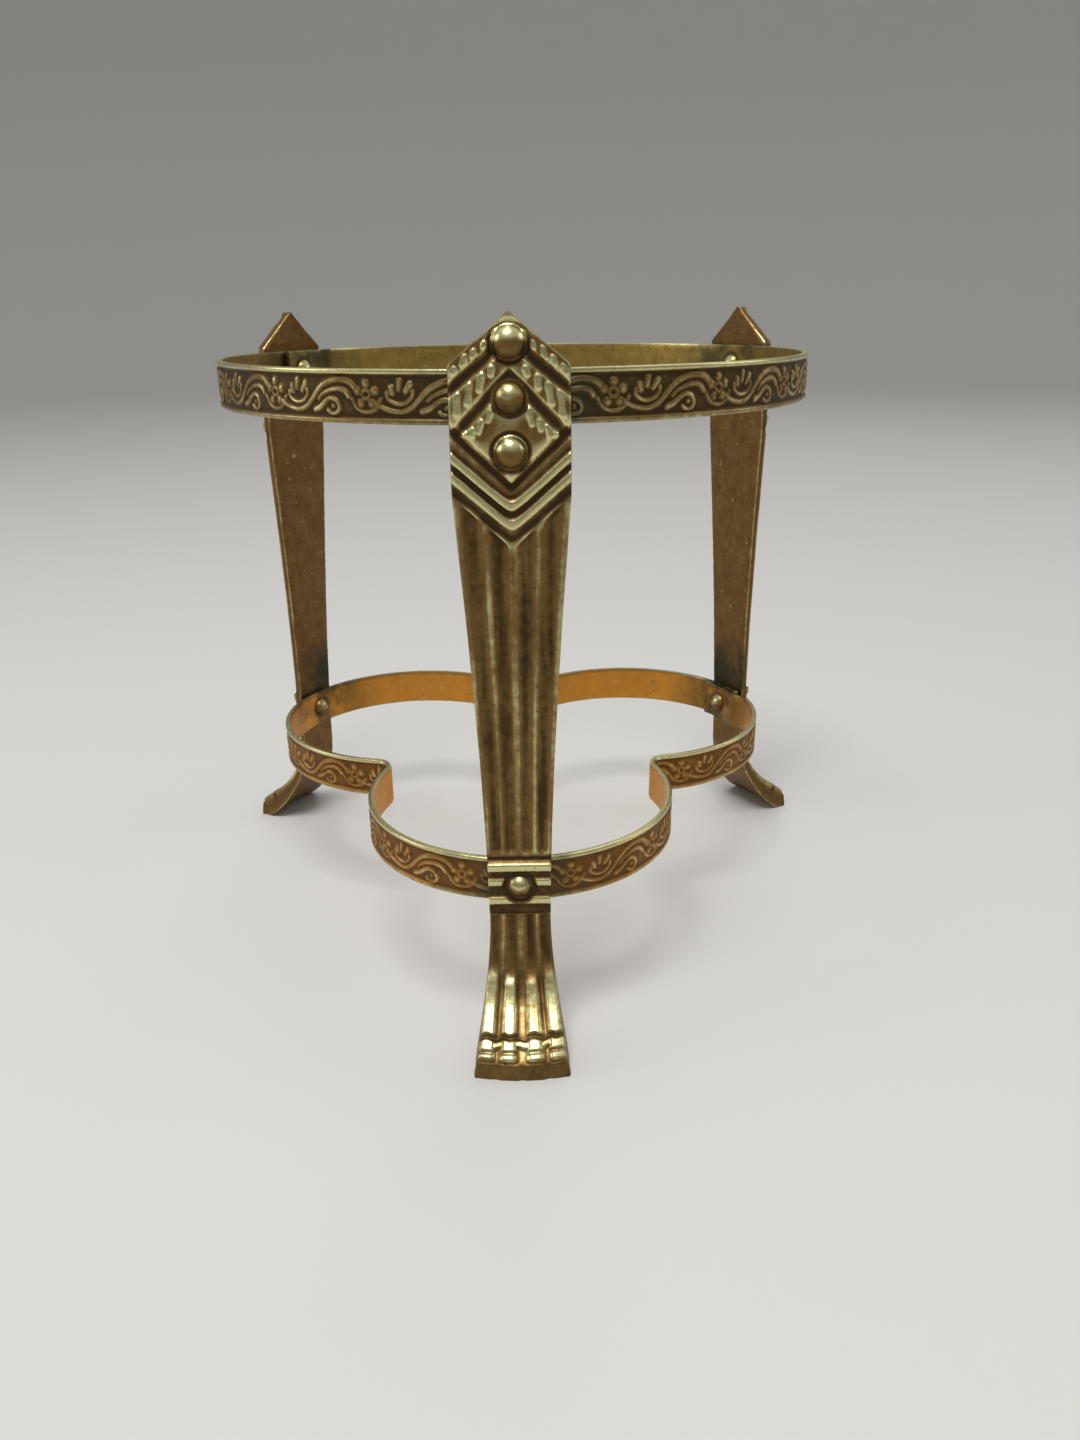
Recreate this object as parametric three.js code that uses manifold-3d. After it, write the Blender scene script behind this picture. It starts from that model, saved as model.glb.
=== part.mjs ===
// A three-legged brass stand for a spirit burner, riveted together from three cast legs and two strips.
// The round upper band carries a dish or pan. The three-lobed lower band steadies the burner under it.
// Millimetres, +Z up, standing on z = 0, with the origin at the centre of the footprint's bounding box.
// The front leg points along -Y.
import * as THREE from "three";
import { mergeVertices } from "three/addons/utils/BufferGeometryUtils.js";
import Module from "manifold-3d";

const wasm = await Module();
wasm.setup();

// Driving dimensions.
const HEIGHT = 150; // floor to the point of a leg
const LEG_AZIMUTHS = { front: -90, rear_right: 30, rear_left: 150 }; // degrees about the stand's axis
const GAP = 0.2; // left between pieces that touch

// Both bands are bent from the same strip.
const STRIP_HEIGHT = 10;
const STRIP_THICKNESS = 1.5;
const UPPER_BAND_Z = 135.3; // height of the middle of the strip
const UPPER_BAND_RADIUS = 68.7; // middle of the strip's thickness
const LOWER_BAND_Z = 36.6;
const LOBE_RADIUS = 36.1; // each lobe of the lower band is an arc of this radius
const LOBE_OFFSET = 35.7; // and this far from the stand's axis
const BEND_RADIUS = 4.5; // between two lobes
const BAND_FACET = Math.PI / 26; // a band's curves turn by this from one facet to the next
const LAP_LENGTH = 12; // the strip's ends overlap by this behind one leg
const LAP_JOGGLE = 6; // length over which the inner end steps inwards
const LAP_CLEAR = 1; // from that step to the outer end

// A leg leans outwards a little towards the floor, then kicks out into a paw.
const LEG_THICKNESS = 2.2;
const HEAD_HALF_WIDTH = 11.2; // under its pointed top the head keeps this width
const HEAD_SHOULDER_Z = 141.1;
const HEAD_FOOT_Z = 118;
const TAPER_BEND = { z: 62, halfWidth: 6.7 }; // the taper slackens towards the ankle
const ANKLE = { z: 29, halfWidth: 6.5 };
const TOE_HALF_WIDTH = 10.1;
const TOE_REACH = 92.4; // from the stand's axis to the front of the toes
const TOE_HEIGHT = 3.8;
const SOLE_DEPTH = 3.4; // the flat that stands on the floor
const INSTEP_Z = 26; // the leg is straight above this and sweeps out to the toes below it
// Control points of the sweep's two curves, as { reach from the stand's axis, z }.
const INSTEP_BENDS = [
  { reach: 87.5, z: 8.6 },
  { reach: 76.9, z: 9.5 },
];
const ARCH_BENDS = [
  { reach: 73.9, z: 14 },
  { reach: 80, z: 4.5 },
];

const FLUTE_COUNT = 4;
const FLUTE_DEPTH = 0.6;
const FLUTES_BETWEEN_Z = [44.8, 118];
const FLUTES_POINT_Z = 108; // the flutes stop along a V with its point here
const CHEVRON_SLOPE = 0.88; // rise over run of every V
const CHEVRON_POINTS_Z = [114.5, 111]; // lowest point of each raised V
const CHEVRON_WIDTH = 2; // measured along the leg
const CHEVRON_RELIEF = 0.7;
const BEAD_PITCH = 9.6; // two cast beads, one above and one below the upper rivet
const BEAD_RADIUS = 3.2;
const BEAD_SINK = 1; // how far a bead's centre lies under the face
const COLLAR_Z = [30.2, 42.6]; // a raised collar where the lower band is riveted
const COLLAR_RELIEF = 0.4;
const COLLAR_BARS = [
  { z: 41.3, radius: 1.3 },
  { z: 37.8, radius: 0.9 },
  { z: 33.6, radius: 0.9 },
];
const TOE_GROOVE_RADIUS = 0.75;

const RIVET = { shankRadius: 1.5, holeRadius: 1.7, innerHeadRadius: 2.7, innerHeadHeight: 1.8 };
const UPPER_HEAD = { radius: 3, height: 2.3 };
const LOWER_HEAD = { radius: 2.7, height: 2 };

const BRASS = {
  leg: { color: 0x8a6f3c, roughness: 0.42, metalness: 1 },
  band: { color: 0xa07a3a, roughness: 0.38, metalness: 1 },
  rivet: { color: 0xb08a48, roughness: 0.32, metalness: 1 },
};

// Solids for cutting and joining.
function solidOf(geometry) {
  const bare = geometry.clone();
  bare.deleteAttribute("normal");
  bare.deleteAttribute("uv");
  const merged = mergeVertices(bare, 1e-4);
  const vertProperties = new Float32Array(merged.attributes.position.array);
  const triVerts = new Uint32Array(merged.index.array);
  return new wasm.Manifold(new wasm.Mesh({ numProp: 3, vertProperties, triVerts }));
}

function geometryOf(solid) {
  const mesh = solid.getMesh();
  const geometry = new THREE.BufferGeometry();
  geometry.setAttribute("position", new THREE.BufferAttribute(mesh.vertProperties, 3));
  geometry.setIndex(new THREE.BufferAttribute(mesh.triVerts, 1));
  geometry.computeVertexNormals();
  return geometry;
}

function named(name, geometry, finish) {
  const mesh = new THREE.Mesh(geometry, new THREE.MeshStandardMaterial(finish));
  mesh.name = name;
  return mesh;
}

const radians = THREE.MathUtils.degToRad;
const wrap = THREE.MathUtils.euclideanModulo;
const direction = (angle) => new THREE.Vector2(Math.cos(angle), Math.sin(angle));

// The lines that the strips are bent to, run once round counter-clockwise from the azimuth `start`.
const lobeTip = LOBE_OFFSET + LOBE_RADIUS;
const bendDistance =
  (LOBE_OFFSET + Math.sqrt(4 * (LOBE_RADIUS + BEND_RADIUS) ** 2 - 3 * LOBE_OFFSET ** 2)) / 2;

function roundLine(start) {
  const line = new THREE.Path();
  line.absarc(0, 0, UPPER_BAND_RADIUS, start, start + 2 * Math.PI);
  return line;
}

// Three lobes joined by tangent bends the other way.
function lobedLine(start) {
  const line = new THREE.Path();
  const third = (2 * Math.PI) / 3;
  for (let i = 0; i < 3; i++) {
    const legAngle = start + i * third;
    const lobe = direction(legAngle).multiplyScalar(LOBE_OFFSET);
    const nextLobe = direction(legAngle + third).multiplyScalar(LOBE_OFFSET);
    const bend = direction(legAngle + third / 2).multiplyScalar(bendDistance);
    const joint = bend.clone().sub(lobe).angle();
    const sweep = wrap(joint - legAngle, 2 * Math.PI);
    const bendStart = legAngle + sweep - Math.PI;
    const bendTurn = 2 * (sweep - third / 2);
    line.absarc(lobe.x, lobe.y, LOBE_RADIUS, legAngle, legAngle + sweep);
    line.absarc(bend.x, bend.y, BEND_RADIUS, bendStart, bendStart - bendTurn, true);
    line.absarc(nextLobe.x, nextLobe.y, LOBE_RADIUS, legAngle + third - sweep, legAngle + third);
  }
  return line;
}

// Distances along a line where a strip bent to it turns by BAND_FACET.
function facetDistances(line) {
  const distances = [];
  let start = 0;
  for (const curve of line.curves) {
    const length = curve.getLength();
    const turn = Math.abs(curve.aEndAngle - curve.aStartAngle) || 0;
    const steps = Math.ceil(turn / BAND_FACET);
    for (let i = 0; i < steps; i++) distances.push(start + (length * i) / steps);
    start += length;
  }
  return distances;
}

// Bends a strip along a closed line so that its two ends lap where the line starts.
// The end of the strip steps inwards, to lie behind its beginning.
function lappedBand(line, middleZ) {
  const length = line.getLength();
  const first = -LAP_LENGTH / 2;
  const last = length + LAP_LENGTH / 2;
  const joggleEnd = last - LAP_LENGTH - LAP_CLEAR;
  const joggle = [0, 1 / 3, 2 / 3, 1].map((share) => joggleEnd - share * LAP_JOGGLE);
  const between = facetDistances(line).filter((s) => s > 1);
  const distances = [first, 0, ...between, ...joggle, length, last].sort((a, b) => a - b);
  const outer = [];
  const inner = [];
  for (const s of distances) {
    const share = wrap(s / length, 1);
    const along = line.getTangent(share);
    const outwards = new THREE.Vector2(along.y, -along.x);
    const sunk = THREE.MathUtils.smoothstep(s, joggleEnd - LAP_JOGGLE, joggleEnd);
    const middle = line.getPoint(share).addScaledVector(outwards, -sunk * (STRIP_THICKNESS + GAP));
    outer.push(middle.clone().addScaledVector(outwards, STRIP_THICKNESS / 2));
    inner.push(middle.clone().addScaledVector(outwards, -STRIP_THICKNESS / 2));
  }
  const section = new THREE.Shape([...outer, ...inner.reverse()]);
  const geometry = new THREE.ExtrudeGeometry(section, { depth: STRIP_HEIGHT, bevelEnabled: false });
  return geometry.translate(0, 0, middleZ - STRIP_HEIGHT / 2);
}

// The leg, in a frame of its own: +X away from the stand's axis, Y across the leg, Z up.
const bandOuter = { upper: UPPER_BAND_RADIUS + STRIP_THICKNESS / 2, lower: lobeTip + STRIP_THICKNESS / 2 };
const leanSlope = (bandOuter.lower - bandOuter.upper) / (UPPER_BAND_Z - LOWER_BAND_Z);
const leanAngle = Math.atan(leanSlope);
const backX = (z) => bandOuter.upper + 1.5 * GAP + (UPPER_BAND_Z - z) * leanSlope;
const faceX = (z) => backX(z) + LEG_THICKNESS;

function sideProfile() {
  const top = HEIGHT + 1;
  const archTop = INSTEP_Z - LEG_THICKNESS;
  const [archA, archB] = ARCH_BENDS;
  const [instepA, instepB] = INSTEP_BENDS;
  const shape = new THREE.Shape();
  shape.moveTo(backX(top), top);
  shape.lineTo(backX(archTop), archTop);
  shape.bezierCurveTo(archA.reach, archA.z, archB.reach, archB.z, TOE_REACH - SOLE_DEPTH, 0);
  shape.lineTo(TOE_REACH, 0);
  shape.lineTo(TOE_REACH, TOE_HEIGHT);
  shape.bezierCurveTo(instepA.reach, instepA.z, instepB.reach, instepB.z, faceX(INSTEP_Z), INSTEP_Z);
  shape.lineTo(faceX(top), top);
  const depth = 4 * HEAD_HALF_WIDTH;
  const geometry = new THREE.ExtrudeGeometry(shape, { depth, bevelEnabled: false, curveSegments: 14 });
  return geometry.rotateX(Math.PI / 2).translate(0, depth / 2, 0);
}

// Extrudes a shape drawn across the leg and up it, away from the stand's axis.
const outwardsFromAxis = new THREE.Vector3(1, 0, 0);
const acrossLeg = new THREE.Vector3(0, 1, 0);
const upwards = new THREE.Vector3(0, 0, 1);
function extrudeOutwards(shape, from, to) {
  const depth = to - from;
  const geometry = new THREE.ExtrudeGeometry(shape, { depth, bevelEnabled: false, curveSegments: 12 });
  const turned = new THREE.Matrix4().makeBasis(acrossLeg, upwards, outwardsFromAxis);
  return geometry.applyMatrix4(turned.setPosition(from, 0, 0));
}

function frontOutline() {
  const shape = new THREE.Shape();
  shape.moveTo(-TOE_HALF_WIDTH, -1);
  shape.lineTo(TOE_HALF_WIDTH, -1);
  shape.lineTo(TOE_HALF_WIDTH, 1);
  shape.bezierCurveTo(TOE_HALF_WIDTH - 1.4, 8, ANKLE.halfWidth, 17, ANKLE.halfWidth, ANKLE.z);
  shape.quadraticCurveTo(TAPER_BEND.halfWidth, TAPER_BEND.z, HEAD_HALF_WIDTH, HEAD_FOOT_Z);
  shape.lineTo(HEAD_HALF_WIDTH, HEAD_SHOULDER_Z);
  shape.lineTo(0, HEIGHT);
  shape.lineTo(-HEAD_HALF_WIDTH, HEAD_SHOULDER_Z);
  shape.lineTo(-HEAD_HALF_WIDTH, HEAD_FOOT_Z);
  shape.quadraticCurveTo(-TAPER_BEND.halfWidth, TAPER_BEND.z, -ANKLE.halfWidth, ANKLE.z);
  shape.bezierCurveTo(-ANKLE.halfWidth, 17, 1.4 - TOE_HALF_WIDTH, 8, -TOE_HALF_WIDTH, 1);
  return extrudeOutwards(shape, 0, 2 * TOE_REACH);
}

// What runs right across a leg is drawn this far from its middle, and trimmed to the outline later.
const OVERRUN = 14;

// Puts what is drawn on the plane x = 0 on the leaning front face instead.
const onFace = new THREE.Matrix4().makeTranslation(faceX(0), 0, 0).multiply(
  new THREE.Matrix4().makeRotationY(-leanAngle),
);

function chevron(pointZ) {
  const armZ = pointZ + CHEVRON_SLOPE * OVERRUN;
  const shape = new THREE.Shape([
    new THREE.Vector2(0, pointZ),
    new THREE.Vector2(OVERRUN, armZ),
    new THREE.Vector2(OVERRUN, armZ + CHEVRON_WIDTH),
    new THREE.Vector2(0, pointZ + CHEVRON_WIDTH),
    new THREE.Vector2(-OVERRUN, armZ + CHEVRON_WIDTH),
    new THREE.Vector2(-OVERRUN, armZ),
  ]);
  return extrudeOutwards(shape, -CHEVRON_RELIEF, CHEVRON_RELIEF).applyMatrix4(onFace);
}

function bead(z) {
  return new THREE.SphereGeometry(BEAD_RADIUS, 16, 10).translate(-BEAD_SINK, 0, z).applyMatrix4(onFace);
}

function collar() {
  const height = COLLAR_Z[1] - COLLAR_Z[0];
  const block = new THREE.BoxGeometry(2 * COLLAR_RELIEF, 2 * OVERRUN, height);
  return block.translate(0, 0, COLLAR_Z[0] + height / 2).applyMatrix4(onFace);
}

function collarBar({ z, radius }) {
  const bar = new THREE.CylinderGeometry(radius, radius, 2 * OVERRUN, 12);
  return bar.translate(0, 0, z).applyMatrix4(onFace);
}

// A flute is a tapered round groove, wider at the top, where the leg is wider.
function flute(index) {
  const across = index + 0.5 - FLUTE_COUNT / 2;
  const grooveRadius = (width) => (width ** 2 / 4 + FLUTE_DEPTH ** 2) / (2 * FLUTE_DEPTH);
  const ends = FLUTES_BETWEEN_Z.map((z) => {
    const halfWidth = THREE.MathUtils.mapLinear(z, ANKLE.z, HEAD_FOOT_Z, ANKLE.halfWidth, HEAD_HALF_WIDTH);
    const pitch = (2 * halfWidth - 3) / FLUTE_COUNT;
    const radius = grooveRadius(0.86 * pitch);
    return { radius, place: new THREE.Vector3(radius - FLUTE_DEPTH, across * pitch, z) };
  });
  const axis = ends[1].place.clone().sub(ends[0].place);
  const groove = new THREE.CylinderGeometry(ends[1].radius, ends[0].radius, axis.length(), 24);
  const cylinderAxis = new THREE.Vector3(0, 1, 0);
  const turn = new THREE.Quaternion().setFromUnitVectors(cylinderAxis, axis.clone().normalize());
  const middle = ends[0].place.clone().addScaledVector(axis, 0.5);
  return groove.applyQuaternion(turn).translate(middle.x, middle.y, middle.z).applyMatrix4(onFace);
}

// A block with a pointed foot that keeps the flutes below the chevrons.
function fluteLimit() {
  const armZ = FLUTES_POINT_Z + OVERRUN * CHEVRON_SLOPE;
  const shape = new THREE.Shape([
    new THREE.Vector2(0, FLUTES_POINT_Z),
    new THREE.Vector2(OVERRUN, armZ),
    new THREE.Vector2(OVERRUN, HEIGHT),
    new THREE.Vector2(-OVERRUN, HEIGHT),
    new THREE.Vector2(-OVERRUN, armZ),
  ]);
  return extrudeOutwards(shape, -OVERRUN, OVERRUN).applyMatrix4(onFace);
}

// Grooves between the toes follow the instep down to the front of the paw and fan out with it.
function toeGroove(side) {
  const instep = new THREE.CubicBezierCurve(
    new THREE.Vector2(faceX(INSTEP_Z), INSTEP_Z),
    new THREE.Vector2(INSTEP_BENDS[1].reach, INSTEP_BENDS[1].z),
    new THREE.Vector2(INSTEP_BENDS[0].reach, INSTEP_BENDS[0].z),
    new THREE.Vector2(TOE_REACH, TOE_HEIGHT),
  );
  const points = instep.getPoints(8).map((point, i) => {
    const spread = THREE.MathUtils.lerp(ANKLE.halfWidth, TOE_HALF_WIDTH, i / 8) / 2;
    return new THREE.Vector3(point.x, side * spread, point.y);
  });
  const run = points[8].clone().sub(points[7]);
  const line = new THREE.CatmullRomCurve3([...points, points[8].clone().add(run)]);
  const section = new THREE.Shape().absarc(0, 0, TOE_GROOVE_RADIUS, 0, 2 * Math.PI);
  return new THREE.ExtrudeGeometry(section, { steps: 14, extrudePath: line, curveSegments: 4 });
}

// The hole for a rivet, and the round seat its outer head sits in.
function rivetHole(z, head) {
  const seatRadius = head.radius + GAP;
  const seatX = faceX(z) + GAP / 2;
  const points = [
    new THREE.Vector2(0, 0),
    new THREE.Vector2(RIVET.holeRadius, 0),
    new THREE.Vector2(RIVET.holeRadius, seatX),
    new THREE.Vector2(seatRadius, seatX),
    new THREE.Vector2(seatRadius, 2 * seatX),
    new THREE.Vector2(0, 2 * seatX),
  ];
  return new THREE.LatheGeometry(points, 24).rotateZ(-Math.PI / 2).translate(0, 0, z);
}

function legGeometry() {
  let leg = solidOf(sideProfile());
  for (let i = 0; i < FLUTE_COUNT; i++) {
    leg = leg.subtract(solidOf(flute(i)).subtract(solidOf(fluteLimit())));
  }
  for (const z of CHEVRON_POINTS_Z) leg = leg.add(solidOf(chevron(z)));
  leg = leg.add(solidOf(collar()));
  for (const bar of COLLAR_BARS) leg = leg.add(solidOf(collarBar(bar)));
  for (const side of [-1, 0, 1]) leg = leg.subtract(solidOf(toeGroove(side)));
  leg = leg.intersect(solidOf(frontOutline()));
  for (const side of [-1, 1]) leg = leg.add(solidOf(bead(UPPER_BAND_Z + side * BEAD_PITCH)));
  leg = leg.subtract(solidOf(rivetHole(UPPER_BAND_Z, UPPER_HEAD)));
  leg = leg.subtract(solidOf(rivetHole(LOWER_BAND_Z, LOWER_HEAD)));
  return geometryOf(leg);
}

// A rivet is turned about its own axis, which points away from the stand's axis.
function domePoints(radius, height, x, outwards) {
  const sphere = (radius ** 2 + height ** 2) / (2 * height);
  const points = [];
  const steps = 3;
  for (let i = 0; i <= steps; i++) {
    const angle = (Math.asin(radius / sphere) * (steps - i)) / steps;
    const rise = height - sphere + sphere * Math.cos(angle);
    points.push(new THREE.Vector2(sphere * Math.sin(angle), x + outwards * rise));
  }
  points[steps].x = 0;
  return points;
}

function rivetGeometry(innerX, outerX, head) {
  const inner = domePoints(RIVET.innerHeadRadius, RIVET.innerHeadHeight, innerX, -1).reverse();
  const outer = domePoints(head.radius, head.height, outerX, 1);
  const shank = [new THREE.Vector2(RIVET.shankRadius, innerX), new THREE.Vector2(RIVET.shankRadius, outerX)];
  return new THREE.LatheGeometry([...inner, ...shank, ...outer], 16).rotateZ(-Math.PI / 2);
}

function rivetMesh(name, { z, middle, head }, lapped) {
  const layers = lapped ? 2 * STRIP_THICKNESS + GAP : STRIP_THICKNESS;
  const innerX = middle + STRIP_THICKNESS / 2 - layers - GAP;
  const mesh = named(name, rivetGeometry(innerX, faceX(z) + 1.5 * GAP, head), BRASS.rivet);
  mesh.position.z = z;
  return mesh;
}

// Drills the rivets' holes through a band, one behind each leg.
function drilled(strip, { z, middle }) {
  let solid = solidOf(strip);
  for (const azimuth of Object.values(LEG_AZIMUTHS)) {
    const hole = new THREE.CylinderGeometry(RIVET.holeRadius, RIVET.holeRadius, 8 * STRIP_THICKNESS, 24);
    hole.rotateZ(Math.PI / 2).translate(middle, 0, z).rotateZ(radians(azimuth));
    solid = solid.subtract(solidOf(hole));
  }
  return geometryOf(solid);
}

// The bands, each with the leg that its lap lies behind.
const upper = {
  z: UPPER_BAND_Z,
  middle: UPPER_BAND_RADIUS,
  head: UPPER_HEAD,
  line: roundLine,
  lap: "rear_left",
};
const lower = {
  z: LOWER_BAND_Z,
  middle: lobeTip,
  head: LOWER_HEAD,
  line: lobedLine,
  lap: "rear_right",
};

const stand = new THREE.Group();
for (const [level, band] of Object.entries({ upper, lower })) {
  const strip = lappedBand(band.line(radians(LEG_AZIMUTHS[band.lap])), band.z);
  stand.add(named(`${level}_band`, drilled(strip, band), BRASS.band));
}

const legShape = legGeometry();
for (const [place, azimuth] of Object.entries(LEG_AZIMUTHS)) {
  const post = new THREE.Group();
  post.rotation.z = radians(azimuth);
  post.add(named(`leg_${place}`, legShape, BRASS.leg));
  post.add(rivetMesh(`upper_rivet_${place}`, upper, place === upper.lap));
  post.add(rivetMesh(`lower_rivet_${place}`, lower, place === lower.lap));
  stand.add(post);
}

// The origin moves from the stand's axis to the centre of the footprint's bounding box.
const footprint = new THREE.Box3().setFromObject(stand, true);
stand.position.y = -(footprint.min.y + footprint.max.y) / 2;

export default stand;
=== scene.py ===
# The looks of the riveted brass spirit burner stand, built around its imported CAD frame.
# The mesh code measures in millimetres from the stand's axis, and to_metres() moves that into the frame.
import math

import bpy
import numpy as np
from mathutils import Matrix, Vector


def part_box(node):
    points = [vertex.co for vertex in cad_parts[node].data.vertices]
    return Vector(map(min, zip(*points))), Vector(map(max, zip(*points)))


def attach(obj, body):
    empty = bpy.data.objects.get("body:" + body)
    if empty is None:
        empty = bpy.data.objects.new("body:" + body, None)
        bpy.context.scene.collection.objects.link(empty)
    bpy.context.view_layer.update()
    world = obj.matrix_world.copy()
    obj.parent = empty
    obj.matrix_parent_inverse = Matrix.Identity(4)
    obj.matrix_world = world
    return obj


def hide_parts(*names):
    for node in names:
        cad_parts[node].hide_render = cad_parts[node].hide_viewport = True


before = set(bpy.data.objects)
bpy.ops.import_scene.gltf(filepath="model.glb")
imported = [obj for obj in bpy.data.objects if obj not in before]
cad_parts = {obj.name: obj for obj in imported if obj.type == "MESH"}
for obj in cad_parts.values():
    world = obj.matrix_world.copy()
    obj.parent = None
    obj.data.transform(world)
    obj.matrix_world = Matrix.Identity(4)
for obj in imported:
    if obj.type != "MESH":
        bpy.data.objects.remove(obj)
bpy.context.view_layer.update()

MM = 0.001
TINY = 1e-9

# Dimensions repeated from part.mjs.
HEIGHT = 150.0
LEG_AZIMUTHS = {"front": -90.0, "rear_right": 30.0, "rear_left": 150.0}
GAP = 0.2
LEG_CLEAR = 1.5 * GAP
STRIP_HEIGHT = 10.0
STRIP_THICKNESS = 1.5
UPPER_BAND_Z = 135.3
UPPER_BAND_RADIUS = 68.7
LOWER_BAND_Z = 36.6
LOBE_RADIUS = 36.1
LOBE_OFFSET = 35.7
BEND_RADIUS = 4.5
LAP_LENGTH = 12.0
LAP_JOGGLE = 6.0
LAP_CLEAR = 1.0
LEG_THICKNESS = 2.2
HEAD_HALF_WIDTH = 11.2
HEAD_SHOULDER_Z = 141.1
HEAD_FOOT_Z = 118.0
TAPER_BEND = (62.0, 6.7)
ANKLE = (29.0, 6.5)
TOE_HALF_WIDTH = 10.1
TOE_REACH = 92.4
TOE_HEIGHT = 3.8
SOLE_DEPTH = 3.4
INSTEP_Z = 26.0
INSTEP_BENDS = ((76.9, 9.5), (87.5, 8.6))
ARCH_BENDS = ((73.9, 14.0), (80.0, 4.5))
BEAD_PITCH = 9.6
BEAD_RADIUS = 3.2
BEAD_SINK = 1.0
RIVET_SHANK_RADIUS = 1.5
INNER_HEAD = (2.7, 1.8)
UPPER_HEAD = (3.0, 2.3)
LOWER_HEAD = (2.7, 2.0)

LOBE_TIP = LOBE_OFFSET + LOBE_RADIUS
BAND_OUTER_UPPER = UPPER_BAND_RADIUS + STRIP_THICKNESS / 2
BAND_OUTER_LOWER = LOBE_TIP + STRIP_THICKNESS / 2
LEAN = (BAND_OUTER_LOWER - BAND_OUTER_UPPER) / (UPPER_BAND_Z - LOWER_BAND_Z)

# The stand's axis is upright and passes through x = 0 and this y.
AXIS_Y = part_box("leg_front")[0].y / MM + TOE_REACH


# Shaping functions on arrays.
def smooth_step(x, low, high):
    share = np.clip((x - low) / (high - low), 0, 1)
    return share * share * (3 - 2 * share)


def ridge_profile(x):
    """A rounded ridge over -1 to 1 with sides that are never upright."""
    return np.clip(1 - x * x, 0, 1) ** 0.85


def hollow_profile(x):
    """A rounded hollow over -1 to 1, a little fuller than a parabola."""
    return np.clip(1 - x * x, 0, 1) ** 0.8


def flat_profile(x):
    """A flat top over the middle of -1 to 1, with smooth sides."""
    return smooth_step(1 - np.abs(x), 0.0, 0.6)


def soft_profile(x):
    """A bump over -1 to 1 that runs out smoothly."""
    return np.clip(1 - x * x, 0, 1) ** 2


def bump(x, middle, half):
    """A soft bump about a middle. A constant made for it is its (middle, half width)."""
    return soft_profile((x - middle) / half)


def within(x, start, end):
    """1 between a rise and a fall. Each is a pair: where it begins and where it is over."""
    return smooth_step(x, *start) * (1 - smooth_step(x, *end))


def towards(value, target, share):
    """Part of the way from one value to another."""
    return value + (target - value) * share


NOISE_LATTICE = 128
NOISE_OCTAVES = 3


def value_noise(x, y, cell, seed):
    """Smooth noise from -1 to 1 with features about cell across."""
    lattice = np.random.RandomState(seed).rand(NOISE_LATTICE, NOISE_LATTICE) * 2 - 1
    column = np.floor(x / cell).astype(int)
    row = np.floor(y / cell).astype(int)
    across = smooth_step(x / cell - column, 0, 1)
    up = smooth_step(y / cell - row, 0, 1)
    left, right = (c % NOISE_LATTICE for c in (column, column + 1))
    rows = (row % NOISE_LATTICE, (row + 1) % NOISE_LATTICE)
    low, high = (lattice[left, r] * (1 - across) + lattice[right, r] * across for r in rows)
    return low * (1 - up) + high * up


def rough_noise(x, y, cell, seed):
    """Octaves of noise, each with half the size and half the weight of the one before."""
    total = np.zeros(np.broadcast(x, y).shape)
    weights = 0.0
    for octave in range(NOISE_OCTAVES):
        total += value_noise(x + 0 * y, y + 0 * x, cell / 2**octave, seed + octave) / 2**octave
        weights += 1 / 2**octave
    return total / weights


def uneven(x, y, pattern, seed):
    """Noise by its pattern: its amount, its size and its own step in the seeds."""
    amount, size, step = pattern
    return amount * rough_noise(x, y, size, seed + step)


BLUR_REACH = 2.5


def blur(field, cells, axis):
    """Averages a field over about this many cells along one axis."""
    reach = int(math.ceil(BLUR_REACH * cells))
    weights = np.exp(-0.5 * (np.arange(-reach, reach + 1) / cells) ** 2)
    weights /= weights.sum()
    width = [(0, 0)] * field.ndim
    width[axis] = (reach, reach)
    padded = np.pad(field, width, mode="reflect", reflect_type="odd")
    return np.apply_along_axis(lambda line: np.convolve(line, weights, mode="valid"), axis, padded)


# Lines in a plane, as arrays of points.
LINE_STEP = 0.05
PATH_STEPS = 5


def polar(distance, angle):
    return (distance * math.cos(angle), distance * math.sin(angle))


def bezier(points, count):
    start, first, second, end = (np.array(p, float) for p in points)
    t = np.linspace(0, 1, count)[:, None]
    return (1 - t) ** 3 * start + 3 * (1 - t) ** 2 * t * first + 3 * (1 - t) * t**2 * second + t**3 * end


def distances_along(points):
    steps = np.linalg.norm(np.diff(points, axis=0), axis=1)
    return np.concatenate([[0], np.cumsum(steps)])


def at_distances(points, distances):
    along = distances_along(points)
    return np.stack([np.interp(distances, along, points[:, i]) for i in range(2)], axis=1)


def rounded(points, radius):
    """The same line with even steps and its corners softened."""
    length = distances_along(points)[-1]
    even = at_distances(points, np.linspace(0, length, int(length / LINE_STEP) + 1))
    return blur(even, radius / LINE_STEP, 0)


def smooth_path(points):
    """A smooth curve through the points."""
    points = np.array(points, float)
    before = 2 * points[0] - points[1]
    after = 2 * points[-1] - points[-2]
    padded = np.vstack([before, points, after])
    t = np.linspace(0, 1, PATH_STEPS, endpoint=False)[:, None]
    spans = []
    for a, b, c, d in zip(padded[:-3], padded[1:-2], padded[2:-1], padded[3:]):
        bend = 2 * a - 5 * b + 4 * c - d
        twist = 3 * b - a - 3 * c + d
        spans.append(b + 0.5 * ((c - a) * t + bend * t**2 + twist * t**3))
    return np.vstack([*spans, points[-1:]])


def distance_to_stroke(across, up, ends):
    """Distance from a short straight stroke, for arrays of points."""
    (ax, ay), (bx, by) = ends
    run = max((bx - ax) ** 2 + (by - ay) ** 2, TINY)
    share = np.clip(((across - ax) * (bx - ax) + (up - ay) * (by - ay)) / run, 0, 1)
    return np.hypot(across - ax - share * (bx - ax), up - ay - share * (by - ay))


# Meshes.
SHARP_ANGLE = math.radians(60)


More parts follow.
